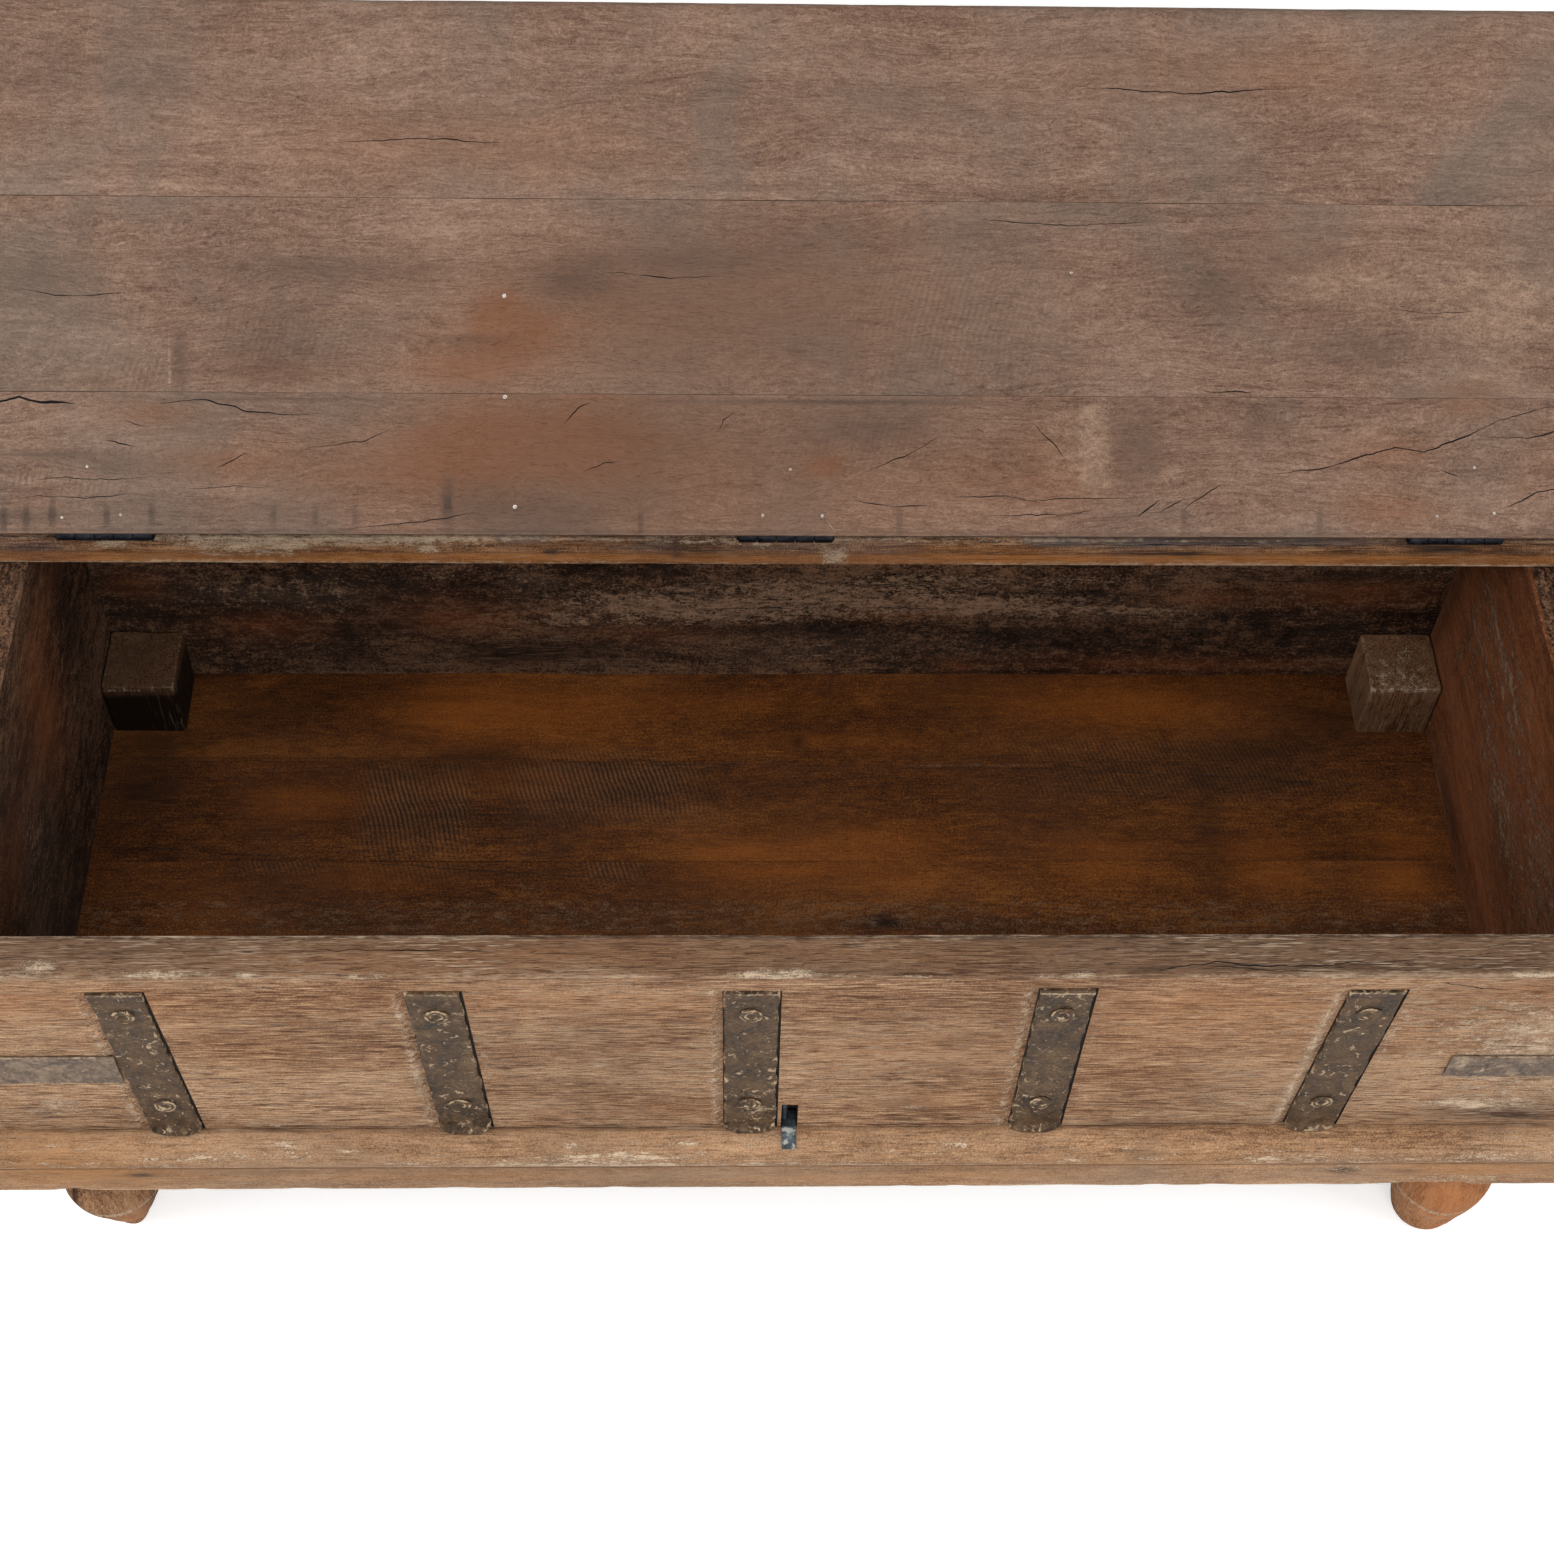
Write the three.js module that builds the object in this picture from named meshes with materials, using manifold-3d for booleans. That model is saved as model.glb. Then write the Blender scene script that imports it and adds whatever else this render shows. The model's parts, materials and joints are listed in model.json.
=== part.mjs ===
// A low storage trunk of reclaimed hardwood, with its lid open: plank walls standing on floor planks,
// four turned corner legs, a moulded base, a fixed rear top board that carries the hinged plank lid,
// and iron straps let into the front.
// Millimetres, +Z up, the front faces -Y. Below, x and y run from the middle of the carcass and z from
// the ground. At the end the trunk is moved, so that its origin is the middle of its underside.
import * as THREE from "three";
import { mergeVertices } from "three/addons/utils/BufferGeometryUtils.js";
import Module from "manifold-3d";

const wasm = await Module();
wasm.setup();

// Carcass boards
const chestLength = 1080;
const chestDepth = 450;
const wallThickness = 30;
const wallHeight = 249;
const floorThickness = 20;
const floorSeamShares = [0.5444, 0.7489]; // of the chest's depth, from the front
const boardEase = 1.5; // flat worn along a board's long arrises
const seat = 0.3; // gap left between two pieces that bear on each other
const cutOverrun = 5; // how far a cutter stands out of what it cuts

// Corner legs, each turned from one square timber whose head stands in the corner of the chest
const legStock = 85;
const headHeight = 55; // above the floor planks
const headChamfer = 4;
const legHeight = 155; // from the ground to the underside of the floor planks
const blockHeight = 15; // the square shoulder left above the turning
const footRadius = 37; // the widest turning
const footOffset = 7; // how much nearer the middle of the trunk a turning stands than its timber
const ringHeight = 68; // the scored ring round the widest turning
const ringDepth = 1.2;
const ringWidth = 3;
// The turned outline from the toe up: radius as a share of footRadius, height as a share of the turning.
const footOutlineShares = [
  [0.46, 0],
  [0.6, 0.05],
  [0.67, 0.13],
  [0.69, 0.22],
  [0.76, 0.3],
  [0.88, 0.39],
  [0.98, 0.49],
  [0.99, 0.57],
  [0.9, 0.69],
  [0.76, 0.79],
  [0.73, 0.87],
  [0.85, 0.91],
  [0.92, 0.95],
  [0.84, 1],
];
const footRings = 22;
const turnedSides = 20;

// Base moulding: a half round above a flat band, mitred round the four walls
const mouldingHeight = 70;
const roundRadius = 18;
const bandProjection = 12;
const quirk = 2; // how far the half round is undercut behind the band's face
const mouldingEase = 3;
const arcSteps = 10;

// Top: the fixed rear board and the lid planks
const topThickness = 26;
const topOverhang = 20;
const fixedBoardDepth = 147;
const fixedBoardChamfer = 5; // along the arris below the hinges
const lidGap = 2; // between the lid and the fixed board
const lidSeamShares = [0.264, 0.63]; // of the lid's width, from the hinges
const lidFrontEase = 4;
const lidOpenAngle = THREE.MathUtils.degToRad(140);

// Hinges: two nailed leaves with interleaved knuckles on one pin
const hingeInset = 108; // from an end of the lid to the middle of the nearest hinge
const hingeLength = 63.5;
const leafDepth = 57; // from the pin's axis to the leaf's tip
const leafShoulder = 14; // from the pin's axis to where the leaf starts to taper
const leafTipRadius = 12;
const leafThickness = 2;
const knuckleRadius = 4.5;
const knuckleCount = 5;
const knuckleGap = 0.4;
const pinRadius = 2.2;
const pinClearance = 0.15;
const pinHeadRadius = 3.4;
const pinHeadLength = 1;
const knuckleSides = 16;

// Ironwork on the front
const strapCount = 5;
const strapPitchShare = 0.1773; // of the chest's length
const strapShift = -24; // from the middle of the chest to the middle strap
const strapWidth = 37;
const strapThickness = 3;
const strapTopDrop = 18.5; // from the top of the wall to the top of a strap
const strapHousing = 2; // depth of the housing that a strap is let into
const strapSideGap = 0.6;
const strapTailRadius = 9; // inside radius of the tail that turns out over the half round
const strapTailRise = 8.5; // from the top of the moulding to where the tail starts to turn
const strapTailAngle = THREE.MathUtils.degToRad(75);
const strapCornerRadius = 10;
const strapSteps = 7;
const rivetHeadRadius = 8.5;
const rivetHeadHeight = 1.8;
const rivetRimShare = 0.35; // height of a head at its rim, as a share of the head's height
const rivetShoulderShare = 0.7; // radius of a head's shoulder, as a share of the head's radius
const rivetShoulderRiseShare = 0.85; // height of that shoulder, as a share of the head's height
const rivetDishRadius = 3.2; // the ring-shaped dent in the middle of a head
const rivetDishDepth = 0.7;
const rivetShankRadius = 2.8;
const rivetShankLength = 22;
const rivetInset = 26.5; // from the top of a strap to its upper rivet
const rivetPitch = 118;
const rivetSides = 14;
const bandHeight = 35; // of the left corner band
const narrowBandHeight = 27; // of the right one
const bandThickness = 1.6;
const bandStrapGap = 0.5; // from the end of the left band to the strap next to it
const bandTopDrop = 97;
const narrowBandTopDrop = 101.5;

// Latch: a slot beside the middle strap, with an iron tongue turned down over the half round
const slotWidth = 11;
const slotHeight = 31;
const slotDepth = 14;
const slotShift = 2.5; // from the middle of the chest to the middle of the slot
const tongueWidth = 10.4;
const tongueThickness = 2;
const tongueInset = 11; // how far the tongue reaches into the slot
const tongueAngle = THREE.MathUtils.degToRad(46);

// Straps across the top of the lid
const lidStrapShare = 0.425; // place from the middle of the pair, as a share of a hinge's place
const lidStrapShift = 8;
const lidStrapMargin = 12; // from a strap's end to the lid's edge
const lidStrapThickness = 2.5;

// Levels and faces that follow from those sizes
const floorTop = legHeight + floorThickness;
const wallBottom = floorTop + seat;
const wallTop = wallBottom + wallHeight;
const boardBottom = wallTop + seat;
const boardTop = boardBottom + topThickness;
const mouldingTop = legHeight + mouldingHeight;
const halfLength = chestLength / 2;
const halfDepth = chestDepth / 2;
const innerHalfLength = halfLength - wallThickness;
const innerHalfDepth = halfDepth - wallThickness;
const frontFace = -halfDepth;
const topHalfLength = halfLength + topOverhang;
const fixedBoardFront = halfDepth + topOverhang - fixedBoardDepth;
const hingeY = fixedBoardFront - lidGap / 2;
const hingeZ = boardTop + seat + knuckleRadius;
const lidWidth = fixedBoardFront - lidGap + halfDepth + topOverhang;

// The four corners: which side of the middle each lies on
const corners = {
  front_left: [-1, -1],
  front_right: [1, -1],
  rear_left: [-1, 1],
  rear_right: [1, 1],
};

// Materials
function wood(color) {
  return new THREE.MeshStandardMaterial({ color, roughness: 0.8, metalness: 0 });
}

function iron(color) {
  return new THREE.MeshStandardMaterial({ color, roughness: 0.6, metalness: 0.7 });
}

const finishes = {
  front: () => wood(0xa4805f),
  wall: () => wood(0x5d4434),
  floor: () => wood(0x5c3623),
  lid: () => wood(0x7d5b49),
  fixedTop: () => wood(0x8f6242),
  moulding: () => wood(0xab8259),
  leg: () => wood(0x8f6144),
  strap: () => iron(0x584f45),
  band: () => iron(0x6c6762),
  hinge: () => iron(0x23242a),
  tongue: () => iron(0x4c565e),
};

// Solids: a closed geometry becomes a solid for cutting and joining, and a solid becomes a geometry again.
function solidOf(geometry) {
  const bare = geometry.index ? geometry.toNonIndexed() : geometry.clone();
  bare.deleteAttribute("normal");
  bare.deleteAttribute("uv");
  const merged = mergeVertices(bare);
  return new wasm.Manifold(
    new wasm.Mesh({
      numProp: 3,
      vertProperties: merged.attributes.position.array,
      triVerts: new Uint32Array(merged.index.array),
    }),
  );
}

function geometryOf(solid) {
  const mesh = solid.getMesh();
  const geometry = new THREE.BufferGeometry();
  geometry.setAttribute("position", new THREE.BufferAttribute(mesh.vertProperties, mesh.numProp));
  geometry.setIndex(new THREE.BufferAttribute(mesh.triVerts, 1));
  const faceted = geometry.toNonIndexed();
  faceted.computeVertexNormals();
  return faceted;
}

function block(x, y, z) {
  const geometry = new THREE.BoxGeometry(x[1] - x[0], y[1] - y[0], z[1] - z[0]);
  geometry.translate((x[0] + x[1]) / 2, (y[0] + y[1]) / 2, (z[0] + z[1]) / 2);
  return geometry;
}

// An outline of [y, z] points drawn out along X.
function alongX(outline, x) {
  const shape = new THREE.Shape(outline.map(([y, z]) => new THREE.Vector2(y, z)));
  const geometry = new THREE.ExtrudeGeometry(shape, { depth: x[1] - x[0], bevelEnabled: false });
  const turn = new THREE.Matrix4().makeBasis(
    new THREE.Vector3(0, 1, 0),
    new THREE.Vector3(0, 0, 1),
    new THREE.Vector3(1, 0, 0),
  );
  return geometry.applyMatrix4(turn).translate(x[0], 0, 0);
}

// A THREE.Shape of x and z drawn out along Y.
function alongY(shape, y, curveSegments) {
  const depth = y[1] - y[0];
  const geometry = new THREE.ExtrudeGeometry(shape, { depth, bevelEnabled: false, curveSegments });
  return geometry.rotateX(Math.PI / 2).translate(0, y[1], 0);
}

// A profile of [radius, height] points, from the foot of the axis up, turned about Y.
function revolved(profile, sides) {
  const points = profile.map(([radius, height]) => new THREE.Vector2(radius, height));
  return new THREE.LatheGeometry(points, sides);
}

// A rectangle of y and z, each corner cut back by its own ease, anticlockwise from the low front corner.
function easedRectangle(y, z, eases) {
  const corners = [
    [y[0], z[0], 1, 1],
    [y[1], z[0], -1, 1],
    [y[1], z[1], -1, -1],
    [y[0], z[1], 1, -1],
  ];
  return corners.flatMap(([cornerY, cornerZ, inY, inZ], index) => {
    const ease = eases[index];
    const alongSide = [cornerY + inY * ease, cornerZ];
    const upSide = [cornerY, cornerZ + inZ * ease];
    return index % 2 === 0 ? [upSide, alongSide] : [alongSide, upSide];
  });
}

// A board that runs along X, with eased long arrises.
function longBoard(x, y, z, eases = [boardEase, boardEase, boardEase, boardEase]) {
  return alongX(easedRectangle(y, z, eases), x);
}

// A board that runs along Y: a long board turned a quarter.
function crossBoard(x, y, z) {
  return longBoard(y, [-x[1], -x[0]], z).rotateZ(Math.PI / 2);
}

// Points on an arc of y and z, with angles from +Y towards +Z.
function arcPoints(centreY, centreZ, radius, from, to, steps) {
  return Array.from({ length: steps + 1 }, (_, step) => {
    const angle = from + ((to - from) * step) / steps;
    return [centreY + radius * Math.cos(angle), centreZ + radius * Math.sin(angle)];
  });
}

const chest = new THREE.Group();

function add(parent, name, geometry, material) {
  const mesh = new THREE.Mesh(geometry, material);
  mesh.name = name;
  parent.add(mesh);
  return mesh;
}

// Ironwork levels, and the places that the straps, their housings and their rivets share
const strapTop = wallTop - strapTopDrop;
const strapTailStart = mouldingTop + strapTailRise;
const strapBack = frontFace + strapHousing - seat;
const strapFace = strapBack - strapThickness;
const strapPitch = strapPitchShare * chestLength;
const strapPlaces = Array.from({ length: strapCount }, (_, index) => {
  return strapShift + (index - (strapCount - 1) / 2) * strapPitch;
});
const upperRivet = strapTop - rivetInset;
const rivetLevels = { upper: upperRivet, lower: upperRivet - rivetPitch };

// A corner band reaches as far along the front, and along the side, as from the corner to that strap.
const bandReach = halfLength + strapPlaces[0] - strapWidth / 2 - bandStrapGap;

// The hole that a rivet's shank passes through, with its length along Y.
function rivetHole(x, z) {
  const mouth = strapFace - cutOverrun;
  const bottom = strapFace + rivetShankLength;
  const radius = rivetShankRadius + seat;
  const hole = new THREE.CylinderGeometry(radius, radius, bottom - mouth, rivetSides);
  return solidOf(hole.translate(x, (mouth + bottom) / 2, z));
}

// A rivet: a shank, and a low domed head with a ring-shaped dent, facing the front.
function rivet(x, z) {
  const profile = [
    [0, -rivetShankLength],
    [rivetShankRadius, -rivetShankLength],
    [rivetShankRadius, 0],
    [rivetHeadRadius, 0],
    [rivetHeadRadius, rivetHeadHeight * rivetRimShare],
    [rivetHeadRadius * rivetShoulderShare, rivetHeadHeight * rivetShoulderRiseShare],
    [rivetDishRadius, rivetHeadHeight],
    [rivetDishRadius / 2, rivetHeadHeight - rivetDishDepth],
    [0, rivetHeadHeight],
  ];
  return revolved(profile, rivetSides).rotateX(Math.PI).translate(x, strapFace - seat, z);
}

// The front board has a housing for each strap, a hole for each rivet and the latch slot.
function frontBoard() {
  const back = frontFace + wallThickness;
  const plank = longBoard([-halfLength, halfLength], [frontFace, back], [wallBottom, wallTop]);
  const cutterFront = frontFace - cutOverrun;
  const slot = block(
    [slotShift - slotWidth / 2, slotShift + slotWidth / 2],
    [cutterFront, frontFace + slotDepth],
    [mouldingTop, mouldingTop + slotHeight],
  );
  let board = solidOf(plank).subtract(solidOf(slot));
  for (const place of strapPlaces) {
    const side = strapWidth / 2 + strapSideGap;
    const housing = block(
      [place - side, place + side],
      [cutterFront, frontFace + strapHousing],
      [mouldingTop, strapTop + strapSideGap],
    );
    board = board.subtract(solidOf(housing));
    for (const level of Object.values(rivetLevels)) board = board.subtract(rivetHole(place, level));
  }
  return geometryOf(board);
}

function addWalls() {
  const height = [wallBottom, wallTop];
  const length = [-halfLength, halfLength];
  const between = [-innerHalfDepth + seat, innerHalfDepth - seat];
  add(chest, "front_board", frontBoard(), finishes.front());
  add(chest, "rear_board", longBoard(length, [innerHalfDepth, halfDepth], height), finishes.wall());
  const left = crossBoard([-halfLength, -innerHalfLength], between, height);
  add(chest, "left_side_board", left, finishes.wall());
  const right = crossBoard([innerHalfLength, halfLength], between, height);
  add(chest, "right_side_board", right, finishes.wall());
}

// Three floor planks lie under the walls. Each leg's head passes through a square hole in a corner.
function addFloor() {
  const holeSide = legStock - wallThickness + seat;
  const [frontSeam, rearSeam] = floorSeamShares.map((share) => -halfDepth + share * chestDepth);
  const planks = {
    floor_plank_front: [-halfDepth, frontSeam - seat],
    floor_plank_middle: [frontSeam, rearSeam - seat],
    floor_plank_rear: [rearSeam, halfDepth],
  };
  for (const [name, depth] of Object.entries(planks)) {
    let plank = solidOf(longBoard([-halfLength, halfLength], depth, [legHeight, floorTop]));
    for (const [sideX, sideY] of Object.values(corners)) {
      const hole = new THREE.BoxGeometry(holeSide, holeSide, floorThickness + 2 * cutOverrun);
      const x = sideX * (innerHalfLength - holeSide / 2);
      const y = sideY * (innerHalfDepth - holeSide / 2);
      hole.translate(x, y, legHeight + floorThickness / 2);
      plank = plank.subtract(solidOf(hole));
    }
    add(chest, name, geometryOf(plank), finishes.floor());
  }
}

// A square post about the origin with its top edges chamfered, standing from one level to another.
function chamferedPost(side, from, to) {
  const low = (side / 2) * Math.SQRT2;
  const high = low - headChamfer * Math.SQRT2;
  const post = new THREE.BoxGeometry(side, side, to - headChamfer - from);
  post.translate(0, 0, (from + to - headChamfer) / 2);
  const cap = new THREE.CylinderGeometry(high, low, headChamfer, 4);
  cap.rotateY(Math.PI / 4).rotateX(Math.PI / 2).translate(0, 0, to - headChamfer / 2);
  return solidOf(post).add(solidOf(cap));
}

// The turned foot about the Z axis, standing on the ground, with a ring scored round its widest part.
function turnedFoot(height) {
  const outline = new THREE.SplineCurve(
    footOutlineShares.map(([radius, rise]) => new THREE.Vector2(radius * footRadius, rise * height)),
  );
  const profile = outline.getPoints(footRings).map((point) => [point.x, point.y]);
  const foot = revolved([[0, 0], ...profile, [0, height]], turnedSides);
  const groove = revolved(
    [
      [footRadius - ringDepth, ringHeight],
      [footRadius + ringWidth, ringHeight - ringWidth],
      [footRadius + ringWidth, ringHeight + ringWidth],
      [footRadius - ringDepth, ringHeight],
    ],
    turnedSides,
  );
  return solidOf(foot.rotateX(Math.PI / 2)).subtract(solidOf(groove.rotateX(Math.PI / 2)));
}

// A leg: the turned foot, the square shoulder under the floor planks, and the head inside the corner.
function leg(sideX, sideY) {
  const shoulder = legHeight - seat;
  const stock = new THREE.BoxGeometry(legStock, legStock, blockHeight);
  stock.translate(0, 0, shoulder - blockHeight / 2);
  const headSide = legStock - wallThickness - seat;
  const inward = (legStock - headSide) / 2;
  const head = chamferedPost(headSide, shoulder - blockHeight / 2, floorTop + headHeight);
  const made = turnedFoot(shoulder - blockHeight)
    .translate([-sideX * footOffset, 0, 0])
    .add(solidOf(stock))
    .add(head.translate([-sideX * inward, -sideY * inward, 0]));
  const x = sideX * (halfLength - legStock / 2);
  const y = sideY * (halfDepth - legStock / 2);
  return geometryOf(made).translate(x, y, 0);
}

function addLegs() {
  for (const [corner, [sideX, sideY]] of Object.entries(corners)) {
    add(chest, `leg_${corner}`, leg(sideX, sideY), finishes.leg());
  }
}

// One run of moulding along the face at -Y. Its ends are mitred: each point of the section runs past
// the corner by as much as it stands out of the wall.
function mouldingRun(halfRun, face) {
  const undercut = Math.acos((bandProjection - quirk) / roundRadius);
  const centreY = -face - seat;
  const centreZ = mouldingTop - roundRadius;
  const round = arcPoints(centreY, centreZ, roundRadius, Math.PI / 2, Math.PI + undercut, arcSteps);
  const bandTop = centreZ - roundRadius * Math.sin(undercut);
  const bandFace = centreY - bandProjection;
  const outline = [
    ...round,
    [bandFace, bandTop],
    [bandFace, legHeight + mouldingEase],
    [bandFace + mouldingEase, legHeight],
    [centreY, legHeight],
  ];
  const run = alongX(outline, [-halfRun, halfRun]);
  const position = run.attributes.position;
  for (let index = 0; index < position.count; index += 1) {
    const standsOut = -position.getY(index) - face;
    const end = halfRun + standsOut - seat / 2;
    position.setX(index, Math.sign(position.getX(index)) * end);
  }
  return run;
}

function addMoulding() {
  const quarter = Math.PI / 2;
  const runs = {
    front: mouldingRun(halfLength, halfDepth),
    right: mouldingRun(halfDepth, halfLength).rotateZ(quarter),
    rear: mouldingRun(halfLength, halfDepth).rotateZ(2 * quarter),
    left: mouldingRun(halfDepth, halfLength).rotateZ(-quarter),
  };
  for (const [side, run] of Object.entries(runs)) {
    add(chest, `base_moulding_${side}`, run, finishes.moulding());
  }
}

// A strap: flat in its housing, its tail turned out over the half round and its lower corners rounded.
function strap(place) {
  const tailCentre = strapBack - strapTailRadius;
  const tail = [tailCentre, strapTailStart];
  const section = [
    [strapBack, strapTop],
    ...arcPoints(...tail, strapTailRadius, 0, -strapTailAngle, strapSteps),
    ...arcPoints(...tail, strapTailRadius - strapThickness, -strapTailAngle, 0, strapSteps),
    [strapFace, strapTop],
  ];
  const half = strapWidth / 2;
  const bottom = strapTailStart - strapTailRadius * Math.sin(strapTailAngle);
  const low = bottom + strapCornerRadius;
  const inner = half - strapCornerRadius;
  const outline = new THREE.Shape();
  outline.moveTo(half, strapTop);
  outline.lineTo(-half, strapTop);
  outline.absarc(-inner, low, strapCornerRadius, Math.PI, 1.5 * Math.PI);
  outline.absarc(inner, low, strapCornerRadius, 1.5 * Math.PI, 2 * Math.PI);
  const front = alongY(outline, [strapBack - strapTailRadius - cutOverrun, strapBack], strapSteps);
  let made = solidOf(alongX(section, [-half, half])).intersect(solidOf(front));
  for (const level of Object.values(rivetLevels)) made = made.subtract(rivetHole(0, level));
  return geometryOf(made).translate(place, 0, 0);
}

function addStraps() {
  strapPlaces.forEach((place, index) => {
    const number = index + 1;
    add(chest, `front_strap_${number}`, strap(place), finishes.strap());
    for (const [name, level] of Object.entries(rivetLevels)) {
      add(chest, `strap_rivet_${number}_${name}`, rivet(place, level), finishes.strap());
    }
  });
}

// A band bent round a front corner, lying on the front board and on the side board.
function cornerBand(side, height, topDrop) {
  const inside = { x: halfLength + seat, y: frontFace - seat };
  const outside = { x: inside.x + bandThickness, y: inside.y - bandThickness };
  const end = { x: halfLength - bandReach, y: frontFace + bandReach };
  const outline = [
    [end.x, inside.y],
    [inside.x, inside.y],
    [inside.x, end.y],
    [outside.x, end.y],
    [outside.x, outside.y],
    [end.x, outside.y],
  ];
  const shape = new THREE.Shape(outline.map(([x, y]) => new THREE.Vector2(side * x, y)));
  const band = new THREE.ExtrudeGeometry(shape, { depth: height, bevelEnabled: false });
  return band.translate(0, 0, wallTop - topDrop - height);
}

// The latch tongue lies on the slot's floor and turns down over the half round.
function latchTongue() {
  const centre = [frontFace - seat, mouldingTop - roundRadius];
  const inner = roundRadius + seat;
  const outer = inner + tongueThickness;
  const top = Math.PI / 2;
  const turned = top + tongueAngle;
  const outline = [
    [frontFace + tongueInset, mouldingTop + seat],
    ...arcPoints(...centre, inner, top, turned, strapSteps),
    ...arcPoints(...centre, outer, turned, top, strapSteps),
    [frontFace + tongueInset, mouldingTop + seat + tongueThickness],
  ];
  return alongX(outline, [slotShift - tongueWidth / 2, slotShift + tongueWidth / 2]);
}

function addFrontIron() {
  const narrowBand = cornerBand(1, narrowBandHeight, narrowBandTopDrop);
  add(chest, "corner_band_left", cornerBand(-1, bandHeight, bandTopDrop), finishes.band());
  add(chest, "corner_band_right", narrowBand, finishes.band());
  add(chest, "latch_tongue", latchTongue(), finishes.tongue());
}

function addFixedTop() {
  const eases = [boardEase, boardEase, boardEase, fixedBoardChamfer];
  const depth = [fixedBoardFront, halfDepth + topOverhang];
  const board = longBoard([-topHalfLength, topHalfLength], depth, [boardBottom, boardTop], eases);
  add(chest, "fixed_top_board", board, finishes.fixedTop());
}

// One hinge leaf about the pin's axis, with its plate towards +Y and lying at the barrel's foot.
function hingeLeaf(firstKnuckle) {
  const half = hingeLength / 2;
  const plateStart = knuckleRadius + knuckleGap;
  const tipCentre = leafDepth - leafTipRadius;
  const outline = new THREE.Shape();
  outline.moveTo(-half, plateStart);
  outline.lineTo(half, plateStart);
  outline.lineTo(half, leafShoulder);
  outline.absarc(0, tipCentre, leafTipRadius, 0, Math.PI);
  outline.lineTo(-half, leafShoulder);
  const plate = new THREE.ExtrudeGeometry(outline, {
    depth: leafThickness,
    bevelEnabled: false,
    curveSegments: arcSteps,
  });
  let leaf = solidOf(plate.translate(0, 0, -knuckleRadius));
  const pitch = hingeLength / knuckleCount;
  const length = pitch - knuckleGap;
  for (let index = firstKnuckle; index < knuckleCount; index += 2) {
    const middle = -half + (index + 1 / 2) * pitch;
    const barrel = new THREE.CylinderGeometry(knuckleRadius, knuckleRadius, length, knuckleSides);
    barrel.rotateZ(Math.PI / 2).translate(middle, 0, 0);
    const web = block(
      [middle - length / 2, middle + length / 2],
      [0, plateStart + leafThickness],
      [-knuckleRadius, -knuckleRadius + leafThickness],
    );
    leaf = leaf.add(solidOf(barrel)).add(solidOf(web));
  }
  const boreRadius = pinRadius + pinClearance;
  const bore = new THREE.CylinderGeometry(boreRadius, boreRadius, 2 * hingeLength, knuckleSides);
  return geometryOf(leaf.subtract(solidOf(bore.rotateZ(Math.PI / 2))));
}

// A hinge pin along X, with a small peened head at each end.
function hingePin() {
  const inside = hingeLength / 2;
  const outside = inside + pinHeadLength;
  const profile = [
    [0, -outside],
    [pinHeadRadius, -outside],
    [pinHeadRadius, -inside],
    [pinRadius, -inside],
    [pinRadius, inside],
    [pinHeadRadius, inside],
    [pinHeadRadius, outside],
    [0, outside],
  ];
  return revolved(profile, knuckleSides).rotateZ(Math.PI / 2);
}

const outerHinge = topHalfLength - hingeInset;
const hingePlaces = { left: -outerHinge, middle: 0, right: outerHinge };

// The lid turns about the hinge pins. Its own frame has its origin on their axis, with the lid closed.
const lid = new THREE.Group();
lid.position.set(0, hingeY, hingeZ);
lid.rotation.x = -lidOpenAngle;

function addHinges() {
  for (const [side, x] of Object.entries(hingePlaces)) {
    const fixedLeaf = add(chest, `hinge_leaf_fixed_${side}`, hingeLeaf(0), finishes.hinge());
    fixedLeaf.position.set(x, hingeY, hingeZ);
    const pin = add(chest, `hinge_pin_${side}`, hingePin(), finishes.hinge());
    pin.position.set(x, hingeY, hingeZ);
    const lidLeaf = add(lid, `hinge_leaf_lid_${side}`, hingeLeaf(1), finishes.hinge());
    lidLeaf.position.set(x, 0, 0);
    lidLeaf.rotation.z = Math.PI;
  }
}

// Three planks edge to edge, from the hinge line to the lid's front edge.
function addLidPlanks() {
  const underside = -knuckleRadius - seat - topThickness;
  const height = [underside, underside + topThickness];
  const rear = -lidGap / 2;
  const [rearSeam, frontSeam] = lidSeamShares.map((share) => rear - share * lidWidth);
  const front = rear - lidWidth;
  const length = [-topHalfLength, topHalfLength];
  const frontEases = [lidFrontEase, boardEase, boardEase, lidFrontEase];
  add(lid, "lid_plank_rear", longBoard(length, [rearSeam, rear], height), finishes.lid());
  const middle = longBoard(length, [frontSeam, rearSeam - seat], height);
  add(lid, "lid_plank_middle", middle, finishes.lid());
  const last = longBoard(length, [front, frontSeam - seat], height, frontEases);
  add(lid, "lid_plank_front", last, finishes.lid());
}

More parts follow.
